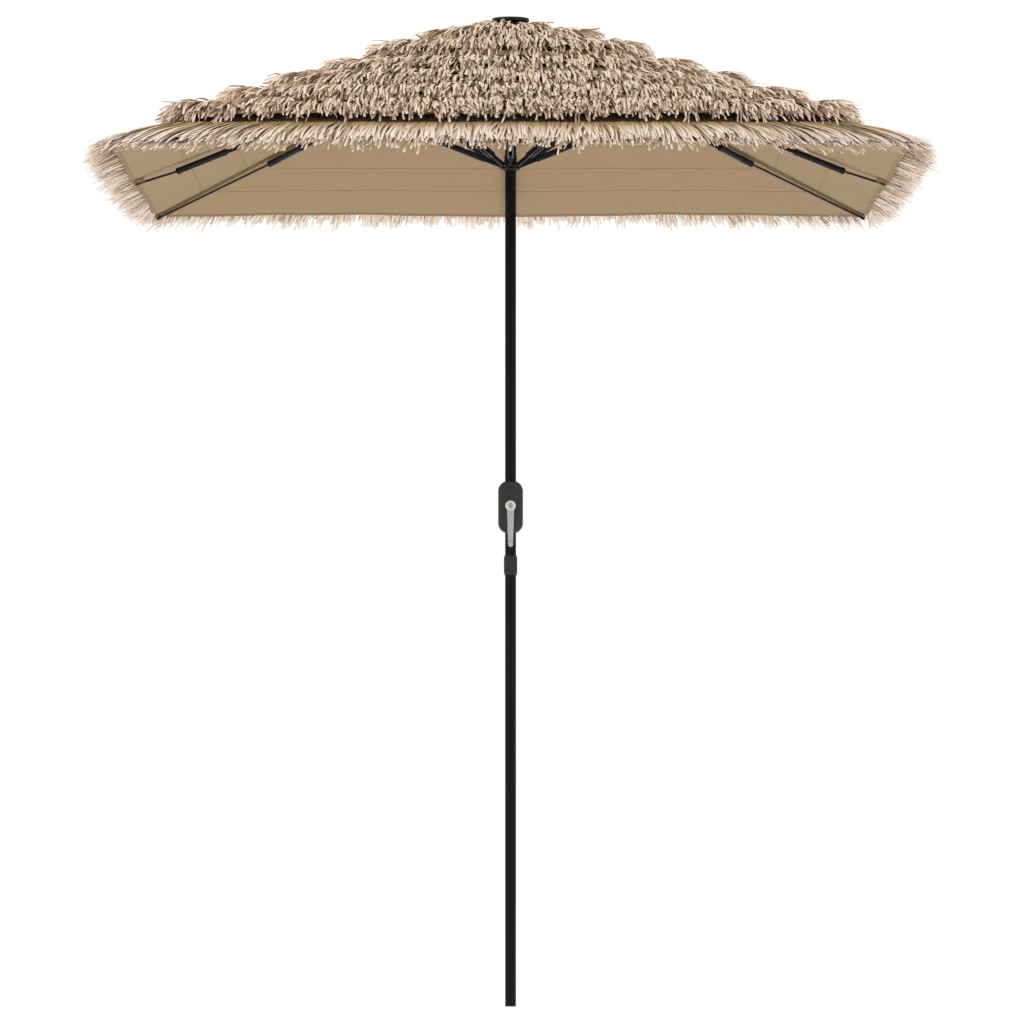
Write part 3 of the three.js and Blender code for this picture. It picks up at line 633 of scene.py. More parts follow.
def case_screw(side):
    """A pan-head screw with a hexagon socket, at the back of the housing."""
    hand = "left" if side < 0 else "right"
    low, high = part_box("housing_screw_" + hand)
    middle = (low + high) / 2
    head = high.y - 2.4 * MM
    shank = [[1.8 * MM, low.y], [1.8 * MM, head]]
    dome = [[3.6 * MM, head], [3.6 * MM, head + 1.2 * MM], [3.1 * MM, head + 2.0 * MM],
            [2.4 * MM, high.y], [1.5 * MM, high.y]]
    socket = [[1.5 * MM, high.y], [1.35 * MM, high.y - 0.1 * MM], [1.35 * MM, head + 0.9 * MM]]
    hexagon = lambda a: 1 / np.cos((a + pi / 6) % (pi / 3) - pi / 6)
    form = Form(about_y(0, middle.z, middle.x))
    form.add(spun(shank, 0.2 * MM, 2, 20)).add(spun(dome, 0.35 * MM, 2, 36))
    form.add(turned(socket, 36, facet=hexagon))
    place(form.build("case_screw_" + hand, [STEEL]), "root", "bare_steel", "housing_screw_" + hand)


def crank_handle():
    """A domed boss with an oval cap, a tapered arm with a raised rib down it, and the knob's stud."""
    boss_r, seat_y, arm_thick = 13 * MM, -38.2 * MM, 6.5 * MM
    arm_back = seat_y - 1 * MM
    drop = CRANK_Z - KNOB_Z
    form = Form()
    boss = [[boss_r - 1 * MM, 0], [boss_r, 1.4 * MM], [boss_r, 8.6 * MM],
            [boss_r - 1.6 * MM, 11.0 * MM], [boss_r - 3.4 * MM, 11.6 * MM],
            [boss_r - 4.6 * MM, 10.8 * MM], [0.5 * MM, 10.8 * MM]]
    face = upright(seat_y, CRANK_Z)
    form.add(spun(boss, 1.2 * MM, 3), 1, face)
    oval = rounded_oblong(9.6 * MM, 13.2 * MM, 4.7 * MM, 8)
    form.add(prism(oval, 10.4 * MM, 11.7 * MM, 0, 0.9 * MM, 4), 2, face)
    root, end = 9 * MM, 6 * MM
    tip = [[end * cos(a), -drop + end * sin(a)] for a in np.linspace(0, -pi, 17)]
    arm = np.array([[-root, -1 * MM], *tip[::-1], [root, -1 * MM],
                    [root * 0.9, 4 * MM], [-root * 0.9, 4 * MM]])
    back = upright(arm_back, CRANK_Z)
    form.add(prism(arm, 0, arm_thick, 1.2 * MM, 2.0 * MM, 5), 0, back)
    rib_top, rib_foot = -16 * MM, -drop + 12 * MM
    rib = fillet([[-2.6 * MM, rib_top], [-1.7 * MM, rib_foot], [1.7 * MM, rib_foot],
                  [2.6 * MM, rib_top]], 1.5 * MM, 4)
    form.add(prism(rib, arm_thick - 0.5 * MM, arm_thick + 0.7 * MM, 0, 0.6 * MM, 3), 0, back)
    stud_r, stud_end = 2.4 * MM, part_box("crank_handle")[0].y
    stud = [[stud_r, stud_end], [stud_r, arm_back - arm_thick + 2 * MM]]
    form.add(spun(stud, 0.4 * MM, 2, 24), 3, about_y(0, KNOB_Z))
    piece = form.build("crank_arm", [SILVER_PLASTIC, CREAM_PLASTIC, OLIVE_PLASTIC, STEEL])
    place(piece, "crank", "silver_plastic", "crank_handle")


def crank_knob():
    """A waisted grip with three grooves, which turns on the arm's stud."""
    low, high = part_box("crank_knob")
    radius, length = high.x, high.y - low.y
    waist, groove_r = radius - 0.4 * MM, radius - 1 * MM
    profile = [[2.7 * MM, 0], [radius - 1 * MM, 0], [radius - 0.2 * MM, 1.6 * MM]]
    for groove in range(3):
        start = (6 + groove * 5) * MM
        profile += [[waist, start], [groove_r, start + 0.8 * MM],
                    [groove_r, start + 1.6 * MM], [waist, start + 2.4 * MM]]
    profile += [[radius, length - 4 * MM], [radius - 0.6 * MM, length - 1 * MM],
                [2.4 * MM, length - 0.1 * MM]]
    form = Form(upright(high.y, KNOB_Z)).add(spun(profile, 0.8 * MM, 3, 48))
    place(form.build("crank_grip", [SILVER_PLASTIC]), "knob", "silver_plastic", "crank_knob")


# ---- Hub, runner and cap ----
def ring_lugs(form, inner, outer, slot, low, high, round_off=0.8 * MM):
    """The eight wedges between the slots of a pivot ring."""
    half = slot / 2
    for i in range(len(SPOKES)):
        first, second = i * SPOKE_STEP, (i + 1) * SPOKE_STEP
        reach = sqrt(outer**2 - half**2)
        points = []
        for angle, offset in ((first, half), (second, -half)):
            along = np.array([cos(angle), sin(angle)])
            across = np.array([-along[1], along[0]])
            near = along * sqrt(inner**2 - half**2) + across * offset
            far = along * reach + across * offset
            points += [near, far] if offset > 0 else [far, near]
        start, end = atan2(points[1][1], points[1][0]), atan2(points[2][1], points[2][0])
        end += TURN if end < start else 0
        arc = [[outer * cos(a), outer * sin(a)] for a in np.linspace(start, end, 6)]
        outline = fillet([points[0], *arc, points[3]], 1.2 * MM, 2)
        form.add(prism(outline, low, high, round_off, round_off, 3))


def pivot_wire(name, node, z, body):
    """The wire ring that the eight pivots of the hub or the runner turn on."""
    steps = 72
    angles = np.arange(steps) * TURN / steps
    path = np.stack([PIVOT_R * np.cos(angles), PIVOT_R * np.sin(angles), np.full(steps, z)], axis=1)
    form = Form().add(tube(path, 1.5 * MM, 12, ring=True))
    place(form.build(name, [STEEL]), body, "bare_steel", node)


def top_hub():
    """A skirt round the pole under a slotted crown, with the stud that the cap sits on."""
    low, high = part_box("top_hub")
    core, crown, bore, stud = 15.4 * MM, 26 * MM, POLE_R + BORE_GAP, 8 * MM
    crown_low, crown_high, slot_top = low.z + 23 * MM, low.z + 42 * MM, low.z + 38 * MM
    form = Form()
    skirt = fillet(box_outline(bore, core, low.z, slot_top), 0.6 * MM, 2)
    form.add(turned(skirt, ring=True))
    plate = [[crown, slot_top], [crown, crown_high - 1.5 * MM], [crown - 2.5 * MM, crown_high],
             [stud + 1 * MM, crown_high], [stud, crown_high + 1 * MM], [stud, high.z]]
    form.add(spun(plate, 0.8 * MM, 3))
    ring_lugs(form, core + 0.1 * MM, crown, 8.8 * MM, crown_low, slot_top + 0.5 * MM)
    place(form.build("hub", [BLACK_PLASTIC]), "root", "black_plastic", "top_hub")


def runner():
    """A sliding collar round the pole, with a slotted crown for the struts."""
    low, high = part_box("runner")
    bore, collar, neck, crown = 14 * MM, 17.5 * MM, 15.4 * MM, 24.5 * MM
    crown_low, floor, crown_high = low.z + 3 * MM, low.z + 6.2 * MM, low.z + 18 * MM
    form = Form()
    profile = fillet([[bore, low.z], [collar - 0.8 * MM, low.z], [collar, low.z + 1.2 * MM],
                      [collar, crown_low], [crown - 2 * MM, crown_low], [crown, crown_low + 2 * MM],
                      [crown, floor], [neck, floor], [neck, high.z], [bore, high.z]], 0.9 * MM, 3)
    form.add(turned(profile, 96, ring=True))
    ring_lugs(form, neck + 0.1 * MM, crown, 8.4 * MM, floor - 0.5 * MM, crown_high)
    place(form.build("sliding_runner", [BLACK_PLASTIC]), "runner", "black_plastic", "runner")


def top_cap():
    """A flat round cap with a shallow groove near its rim, on a sloping underside."""
    radius, bottom, top = CAP_HIGH.x, CAP_LOW.z, CAP_HIGH.z
    groove = top - 0.9 * MM
    profile = [[11.5 * MM, bottom], [radius - 1.2 * MM, bottom + 15.6 * MM],
               [radius, bottom + 17 * MM], [radius, top - 1.4 * MM], [radius - 1.4 * MM, top],
               [radius - 6 * MM, top], [radius - 7 * MM, groove], [radius - 9 * MM, groove],
               [radius - 10 * MM, top], [1 * MM, top]]
    form = Form().add(spun(profile, 1.0 * MM, 3, 96))
    place(form.build("cap", [BLACK_PLASTIC]), "root", "black_plastic", "top_cap")


# ---- Lift cord ----
def lift_cord():
    """From the spool up inside the pole, over the pulley, and down outside it to the runner."""
    spin = JOINTS["pulley_spin"]
    axle = Vector(spin["pos_m"])
    along = Vector((spin["axis"][1], -spin["axis"][0], 0)).normalized()
    if along.dot(Vector((axle.x, axle.y, 0))) < 0:
        along.negate()
    groove, wire = 12 * MM, 2.5 * MM
    over = lambda a: axle - along * groove * cos(a) + Vector((0, 0, groove * sin(a)))
    foot = over(pi)
    foot.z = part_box("runner")[1].z + 0.3 * MM
    start = Vector((9.13 * MM, -3 * MM, CRANK_Z + 14 * MM))
    points = [start.lerp(over(0), t) for t in np.linspace(0, 1, 12)[:-1]]
    points += [over(a) for a in np.linspace(0, pi, 13)]
    points += [over(pi).lerp(foot, t) for t in np.linspace(0, 1, 7)[1:]]
    piece = Form().add(tube([tuple(p) for p in points], wire / 2, 12)).build("hoist_cord", [CORD])
    place(piece, "root", "cord", "lift_cord")
    length = sum((b - a).length for a, b in zip(points, points[1:]))
    [tuple(p) for p in points]


# ---- Ribs and struts ----
class Spoke:
    """One of the eight ribs with its strut. Even ones are side ribs, and odd ones are corner ribs."""

    def __init__(self, index):
        self.name, self.corner = SPOKES[index], index % 2 == 1
        pin = Vector(JOINTS["strut_fold_" + self.name]["pos_m"])
        self.pin_reach, self.pin_z = hypot(pin.x, pin.y), pin.z
        self.pitch = atan2(HUB_PIVOT_Z - self.pin_z, self.pin_reach - PIVOT_R)
        self.strut_pitch = atan2(self.pin_z - RUNNER_PIVOT_Z, self.pin_reach - PIVOT_R)
        self.strut_length = (self.pin_reach - PIVOT_R) / cos(self.strut_pitch)
        self.turn = rotation(index * SPOKE_STEP, "Z")
        self.rib = self.turn @ moved(PIVOT_R, 0, HUB_PIVOT_Z) @ rotation(self.pitch, "Y")
        hinge = self.turn @ moved(self.pin_reach, 0, self.pin_z)
        self.strut = hinge @ rotation(pi - self.strut_pitch, "Y")
        sleeve = (749 * MM, 873 * MM) if self.corner else (695 * MM, 819 * MM)
        self.sleeve_in, self.sleeve_out = [(reach - PIVOT_R) / cos(self.pitch) for reach in sleeve]
        self.tip = (CLOTH_HALF - 8 * MM) * sqrt(2) if self.corner else CLOTH_HALF - 8.5 * MM
        self.tip_z = cloth_z(self.tip / sqrt(2) if self.corner else self.tip) - 10 * MM
        self.body = "rib_" + self.name


# These turn a form drawn in (x, y) along Z.
ALONG_X = rotation(pi / 2, "Y") @ rotation(pi / 2, "Z")  # its outline stands in (Y, Z), and it runs along X
ALONG_Y = rotation(pi / 2, "X")  # its outline stands in (X, Z), and it runs to -Y


def eye(length_back, radius, steps=10):
    """A lug's outline in (x, z) that ends in a half circle round the origin, open towards +X."""
    angles = np.linspace(pi / 2, pi * 1.5, steps + 1)
    arc = [[radius * cos(a), radius * sin(a)] for a in angles]
    return np.array([[length_back, radius], *arc, [length_back, -radius]])


def rib_bar(spoke):
    """A steel channel, open underneath, with an eye at the hub."""
    w, h, wall = 4 * MM, 5 * MM, 0.9 * MM
    start, end = 6 * MM, spoke.sleeve_in + 55 * MM
    inner, ceiling = w - wall, h - wall
    section = fillet([[-w, -h], [-inner, -h], [-inner, ceiling], [inner, ceiling],
                      [inner, -h], [w, -h], [w, h], [-w, h]], 1.0 * MM, 2)
    form = Form(spoke.rib).add(prism(section, start, end), 0, ALONG_X)
    lug = eye(15 * MM, 5 * MM)
    form.add(prism(lug, -3.0 * MM, 3.0 * MM, 0.7 * MM, 0.7 * MM), 0, ALONG_Y)
    piece = form.build("rib_channel_" + spoke.name, [RIB_COAT])
    place(piece, spoke.body, "black_paint", "rib_bar_" + spoke.name)


def rib_rod(spoke):
    """A moulded sleeve with collars and grip rings, and the springy rod that runs from it to the hem."""
    radius = 8.5 * MM
    waist, foot, crest = radius - 0.9 * MM, radius - 1.2 * MM, radius - 0.1 * MM
    start, end = spoke.sleeve_in, spoke.sleeve_out
    profile = [[4.4 * MM, start + 1 * MM], [radius - 1.6 * MM, start], [radius, start + 1.6 * MM],
               [radius, start + 9 * MM], [waist, start + 10 * MM], [waist, end - 12 * MM],
               [radius, end - 11 * MM], [radius, end - 3 * MM], [radius - 2.6 * MM, end],
               [2.9 * MM, end + 0.5 * MM]]
    form = Form(spoke.rib).add(spun(profile, 0.7 * MM, 2, 32), 0, ALONG_X)
    for ring in range(4):
        x = end - (24 + ring * 6) * MM
        band = fillet([[foot, x], [crest, x + 0.8 * MM], [crest, x + 2.2 * MM], [foot, x + 3 * MM]],
                      0.5 * MM, 2)
        form.add(turned(band, 32, ring=True), 0, ALONG_X)
    out = PIVOT_R + end * cos(spoke.pitch)
    out_z = HUB_PIVOT_Z - end * sin(spoke.pitch)
    run, fall = spoke.tip - out, out_z - spoke.tip_z
    length = hypot(run, fall)
    rod_turn = spoke.rib.inverted() @ spoke.turn @ moved(out, 0, out_z)
    rod_turn = rod_turn @ rotation(atan2(fall, run), "Y")
    rod_r, tip_r = 2.8 * MM, 4 * MM
    rod = [[rod_r, -2 * MM], [rod_r, length - 14 * MM], [tip_r, length - 13.5 * MM],
           [tip_r, length - 2 * MM], [1.5 * MM, length]]
    form.add(spun(rod, 0.8 * MM, 3, 24), 1, rod_turn @ ALONG_X)
    piece = form.build("rib_sleeve_" + spoke.name, [BLACK_PLASTIC, RIB_COAT])
    place(piece, spoke.body, "black_plastic", "rib_rod_" + spoke.name)


def strut(spoke):
    """A pressed channel, open underneath, riveted to the rib, with a moulded tongue at the runner."""
    w, d, wall = 6.5 * MM, 7 * MM, 1.2 * MM
    outer, web_start, tongue = -5 * MM, 17 * MM, 45 * MM
    length = spoke.strut_length
    end = length - tongue
    form = Form(spoke.strut)
    flange = fillet(box_outline(outer, end, -d, d), 4.5 * MM, 5)
    # a thin pale strip along each flange's edge, which paints its highlight
    highlight_box = box_outline(outer + 4 * MM, end - 4 * MM, d - 0.5 * MM, d + 0.15 * MM)
    lip = fillet(highlight_box, 0.2 * MM, 1)
    head = [[3.4 * MM, 0], [3.4 * MM, 0.5 * MM], [2.4 * MM, 1.1 * MM], [0.3 * MM, 1.2 * MM]]
    for side in (-1, 1):
        mid = side * (w - wall / 2)
        form.add(prism(flange, mid - wall / 2, mid + wall / 2, 0.35 * MM, 0.35 * MM, 2), 0, ALONG_Y)
        form.add(prism(lip, mid - wall * 0.45, mid + wall * 0.45), 1, ALONG_Y)
        outwards = moved(0, side * w, 0) @ rotation(-side * pi / 2, "X")
        form.add(spun(head, 0.4 * MM, 3, 28), 2, outwards)
    web = box_outline(-w + 0.4 * MM, w - 0.4 * MM, -d, -d + wall)
    form.add(prism(fillet(web, 0.5 * MM, 2), web_start, end - 1 * MM, 0.3 * MM, 0.3 * MM, 2), 0, ALONG_X)
    form.add(turned([[2 * MM, -w], [2 * MM, w]], 20), 2, ALONG_Y)
    block = fillet(box_outline(end - 16 * MM, end + 1 * MM, -6.3 * MM, 4.8 * MM), 1.2 * MM, 3)
    form.add(prism(block, -w + wall * 0.9, w - wall * 0.9, 0.4 * MM, 0.4 * MM, 2), 3, ALONG_Y)
    if spoke.corner:
        lug = fillet(box_outline(end - 8 * MM, length - 3.6 * MM, -5 * MM, 5 * MM), 1.6 * MM, 3)
    else:
        lug = (eye(tongue + 8 * MM, 5 * MM) * [-1, 1] + [length, 0])[::-1]
    form.add(prism(lug, -3.4 * MM, 3.4 * MM, 0.8 * MM, 0.8 * MM), 3, ALONG_Y)
    piece = form.build("strut_channel_" + spoke.name, [RIB_COAT, EDGE_HIGHLIGHT, STEEL, BLACK_PLASTIC])
    place(piece, "strut_arm_" + spoke.name, "black_paint", "strut_" + spoke.name)


# ---- Canopy ----
ROWS = 8  # of raffia, counted from the hem
ROW_RUN = (CLOTH_HALF - HOLE_HALF - 1 * MM) / (ROWS - 0.3)
ROOT_OVERLAP = 14 * MM  # how far a row starts above the tips of the row over it
STRIP_PITCH = 1.15 * MM  # along a row's lower edge
THATCH_DEPTH = 58 * MM  # over the cloth, at a row's tips
TIER_GAP = 26 * MM  # between the cloth and the lowest tips of a row
HEM_IN = 3 * MM  # how far the hem curves in midway between two ribs
HEM_LIFT = 5 * MM  # how far it rises there
CLOTH_SAG = 6 * MM  # how far the cloth hangs between two ribs
POCKET = 28 * MM  # the side of the patch over a rib's end
ROD_BULGE = 9.5 * MM  # how far a patch stands out over the rod's tip
ROD_SPREAD = 7 * MM
CLOSED_KEEP = 0.08  # a closed sector's width, as a share of its open one


def smooth(value, low, high):
    share = np.clip((value - low) / (high - low), 0, 1)
    return share * share * (3 - 2 * share)


def draped(reach, across):
    """(x, y, z) of the cloth on a side that faces +X. across runs from -1 to 1, corner to corner."""
    between = 1 - np.abs(2 * np.abs(across) - 1)  # 0 on a rib, 1 midway between two
    bulge = np.sin(pi / 2 * between) ** 2
    share = np.clip((reach - TOP_HALF) / (CLOTH_HALF - TOP_HALF), 0, 1)
    out = reach - HEM_IN * bulge * share
    sag = CLOTH_SAG * bulge * np.sin(pi * share**0.8) ** 2
    folds = 1.1 * MM * bulge * share**2 * np.sin(across * 23 + share * 5)
    height = cloth_z(reach) + HEM_LIFT * bulge * share - sag + folds
    return np.stack([out, across * out, height], axis=-1)


def quarter_turn(points, side):
    """Points on the side that faces +X, carried round to another side."""
    x, y, z = np.moveaxis(np.asarray(points, float), -1, 0)
    for _ in range(side % 4):
        x, y = -y, x
    return np.stack([x, y, z], axis=-1)


class Sector:
    """A part of the canopy that rides on one rib: a side rib's two flanks, or one flank of a corner rib."""

    def __init__(self, side, flank=0):
        self.side, self.flank = side, flank
        self.spoke = SPOKES[(2 * side + flank) % 8]
        self.name = self.spoke if not flank else self.spoke + ("_ccw" if flank > 0 else "_cw")
        self.span = (-0.5, 0.5) if not flank else (0.5, 1.0) if flank > 0 else (-1.0, -0.5)
        ridge = Vector((1, flank, -SLOPE))
        lateral = ridge.cross(Vector((SLOPE, 0, 1))).normalized() if flank else Vector((0, 1, 0))
        anchor = (TOP_HALF, flank * TOP_HALF, TOP_Z)
        self.axis = quarter_turn(lateral, side)
        self.anchor = quarter_turn(anchor, side)

    def gather(self, piece, slot, *nodes):
        """The piece rides on the rib, with a mesh of its own."""
        place(piece, "rib_" + self.spoke, slot, *nodes)
        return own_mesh(piece, fold_joint(self.spoke), tuple(self.axis), tuple(self.anchor), CLOSED_KEEP)

    def sweep(self, columns):
        """The sector's share of the side, as a row of a grid."""
        return np.linspace(*self.span, columns)[None, :]

    def holds(self, across):
        return (across >= self.span[0]) & (across < self.span[1])


SECTORS = [Sector(side, flank) for side in range(4) for flank in (-1, 0, 1)]


def grid_faces(rows, columns):
    index = np.arange(rows * columns).reshape(rows, columns)
    corners = [index[:-1, :-1], index[:-1, 1:], index[1:, 1:], index[1:, :-1]]
    return np.stack(corners, axis=-1).reshape(-1, 4)


class Fabric:
    """A mesh of grids that carry UVs in metres, and a number from 0 to 1 for the raffia's tone."""

    def __init__(self):
        self.points, self.uvs, self.tones, self.faces, self.slots = [], [], [], [], []
        self.count = 0

    def add(self, points, uvs, slot=0, faces=None, tones=None):
        rows, columns = points.shape[:2]
        total = points.size // 3
        faces = grid_faces(rows, columns) if faces is None else faces
        self.points.append(points.reshape(-1, 3))
        self.uvs.append(uvs.reshape(-1, 2))
        self.tones.append(np.zeros(total) if tones is None else tones.reshape(-1))
        self.faces.append(faces + self.count)
        self.slots.append(np.full(len(faces), slot))
        self.count += total

    def build(self, name, materials, sharp=60):
        points, uvs = np.concatenate(self.points), np.concatenate(self.uvs)
        faces = np.concatenate(self.faces)
        mesh = bpy.data.meshes.new(name)
        mesh.vertices.add(len(points))
        mesh.vertices.foreach_set("co", points.astype(np.float32).ravel())
        mesh.loops.add(faces.size)
        mesh.loops.foreach_set("vertex_index", faces.astype(np.int32).ravel())
        mesh.polygons.add(len(faces))
        mesh.polygons.foreach_set("loop_start", np.arange(0, faces.size, 4, dtype=np.int32))
        mesh.polygons.foreach_set("material_index", np.concatenate(self.slots).astype(np.int32))
        mesh.update(calc_edges=True)
        layer = mesh.uv_layers.new(name="metres")
        layer.data.foreach_set("uv", uvs[faces.ravel()].astype(np.float32).ravel())
        tone = mesh.attributes.new("tone", "FLOAT", "POINT")
        tone.data.foreach_set("value", np.concatenate(self.tones).astype(np.float32))
        mesh.validate()
        return finished(name, mesh, materials, sharp)


def patch(sector, reach, across, below=0.0):
    """Points and UVs of a grid over the cloth. reach and across are arrays that broadcast together."""
    reach, across = np.broadcast_arrays(reach, across)
    points = draped(reach, across)
    points[..., 2] -= below
    points[..., 0] -= below * SLOPE
    uvs = np.stack([across * reach, reach / cos(SLOPE_ANGLE)], axis=-1)
    return quarter_turn(points, sector.side), uvs


def canopy_cloth(sector):
    rows, columns = 44, 26 if sector.flank == 0 else 14
    fabric = Fabric()
    reach = np.linspace(HOLE_HALF, CLOTH_HALF, rows)[:, None]
    across = sector.sweep(columns)
    fabric.add(*patch(sector, reach, across))
    piece = fabric.build("canvas_" + sector.name, [CANVAS])
    thicken(piece, 0.7 * MM)
    sector.gather(piece, "tan_cloth", "canopy_cloth_" + sector.spoke)
    return piece


def thicken(piece, thickness):
    layer = piece.modifiers.new("thickness", "SOLIDIFY")
    layer.thickness = thickness
    layer.offset = 0.0
    layer.use_rim = False


def along_hem(sector, inner, outer, below, columns=40):
    """A band along the cloth between two distances from the hem."""
    reach = np.linspace(CLOTH_HALF - outer, CLOTH_HALF - inner, 4)[:, None]
    across = sector.sweep(columns)
    points, uvs = patch(sector, reach, across, below)
    middle = (inner + outer) / 2
    uvs = np.stack([np.broadcast_to(CLOTH_HALF - middle - reach, uvs.shape[:2]), uvs[..., 0]], axis=-1)
    return points, uvs


def beside_rib(sector, near, far, below):
    """A band that runs down the cloth at a fixed distance from the rib that the sector rides on."""
    reach = np.linspace(40 * MM, CLOTH_HALF - 1 * MM, 60)[:, None]
    off = np.linspace(near, far, 4)[None, :]
    across = sector.flank * (1 - off / reach) if sector.flank else off / reach
    points, uvs = patch(sector, reach, across, below)
    uvs = np.stack([np.broadcast_to(off - (near + far) / 2, uvs.shape[:2]), uvs[..., 1]], axis=-1)
    return points, uvs


def rod_bulge(off):
    return ROD_BULGE * np.exp(-(off / ROD_SPREAD) ** 2)


def rib_pocket(sector, fabric):
    """The patch that takes the rib's end: square on a side rib, with a sewn cross, a triangle at a corner."""
    below = 1.9 * MM
    if sector.flank:
        off = np.linspace(0, 1, 6)[None, :] * np.linspace(8 * MM, POCKET, 6)[:, None]
        reach = np.linspace(CLOTH_HALF - POCKET, CLOTH_HALF - 1 * MM, 6)[:, None]
        fabric.add(*patch(sector, reach, sector.flank * (1 - off / reach), below), slot=2)
        return
    end = CLOTH_HALF - 2 * MM
    reach = np.linspace(end - POCKET, end, 8)[:, None]
    off = np.linspace(-POCKET / 2, POCKET / 2, 8)[None, :]
    fabric.add(*patch(sector, reach, off / reach, below + rod_bulge(off) * np.ones_like(reach)), slot=2)
    arm = POCKET * 0.44  # of the cross
    t = np.linspace(-1, 1, 24)[:, None]
    run = end - POCKET / 2 + t * arm
    for slant in (-1, 1):
        for edge in (-1, 1):
            side = (slant * t + edge * 0.035) * arm + np.array([[-0.4, 0.4]]) * MM
            fabric.add(*patch(sector, run, side / run, 2.5 * MM + rod_bulge(side)), slot=3)


def row_root(row):
    """How far from the pole a row of raffia is sewn on."""
    return max(CLOTH_HALF - (row + 1) * ROW_RUN - ROOT_OVERLAP, HOLE_HALF + 4 * MM)


def canopy_trim(sector):
    """Hem, seams and rib pockets, sewn to the underside."""
    fabric = Fabric()
    fabric.add(*along_hem(sector, 0.3 * MM, 9.5 * MM, 1.1 * MM), slot=0)
    for row in range(ROWS - 1):
        line = CLOTH_HALF - row_root(row)
        fabric.add(*along_hem(sector, line - 1.0 * MM, line + 1.0 * MM, 0.7 * MM), slot=4)
    if sector.flank:
        fabric.add(*beside_rib(sector, 0, 13 * MM, 1.0 * MM), slot=1)
    else:
        fabric.add(*beside_rib(sector, 18 * MM, 26 * MM, 0.9 * MM), slot=4)
    rib_pocket(sector, fabric)
    piece = fabric.build("canvas_trim_" + sector.name,
                         [HEM_CANVAS, SEAM_CANVAS, POCKET_CANVAS, THREAD, SEAM_LINE])
    sector.gather(piece, "tan_cloth")
    return piece


# ---- Raffia ----
STRIP_STEPS = 9
CURL_FROM = 0.78  # share of a strip's length after which its tip curls
CROWN_LIFT = 22 * MM  # how much deeper the thatch is round the top
# What the strips of the hem's fringe and of the rows over it do, in radians, shares and millimetres.
FRINGE_STRIPS = SimpleNamespace(fan_growth=0.3, length=0.90, spread=0.035, curl=(-0.12, 0.12), wild=0.0,
                                tip_turn=0.08, wave=0.02, width=(4, 7), twist=0.15, tip_twist=0.2,
                                paler=0.12)
ROW_STRIPS = SimpleNamespace(fan_growth=0.8, length=1.0, spread=0.05, curl=(-0.75, 0.4), wild=0.02,
                             tip_turn=0.7, wave=0.05, width=(4.5, 7.5), twist=0.3, tip_twist=0.4,
                             paler=0.0)
# A row's packed inside, from its root round to its lip: share of the row's run, share of its depth, tone. The
# tone is lowest at the root and under the lip, as painted shade.
ROW_SKIN = np.array([(0.0, 0.0, 0.2), (0.3, 0.25, 0.3), (0.6, 0.42, 0.38), (0.74, 0.50, 0.40),
                     (0.80, 0.42, 0.34), (0.78, 0.34, 0.24), (0.6, 0.24, 0.1), (0.3, 0.02, 0.1)])


def thatch_depth(reach):
    """How high the thatch stands over the cloth. It deepens towards the top, and stops under the cap."""
    deep = THATCH_DEPTH + CROWN_LIFT * (1 - smooth(reach, 250 * MM, 450 * MM))
    ceiling = CAP_LOW.z - 3 * MM + 8 * MM * smooth(reach, 20 * MM, 50 * MM)
    ceiling = ceiling - 0.28 * np.maximum(reach - 96 * MM, 0)
    return np.minimum(deep, np.maximum(ceiling - cloth_z(reach), 4 * MM))


def clumps(random, across, wavelength):
    """A number from -1 to 1 that wanders along the row, so that neighbouring strips are alike."""
    knots = np.linspace(-1, 1, max(int(2 * CLOTH_HALF / wavelength), 3))
    return np.interp(across, knots, random.uniform(-1, 1, len(knots)))


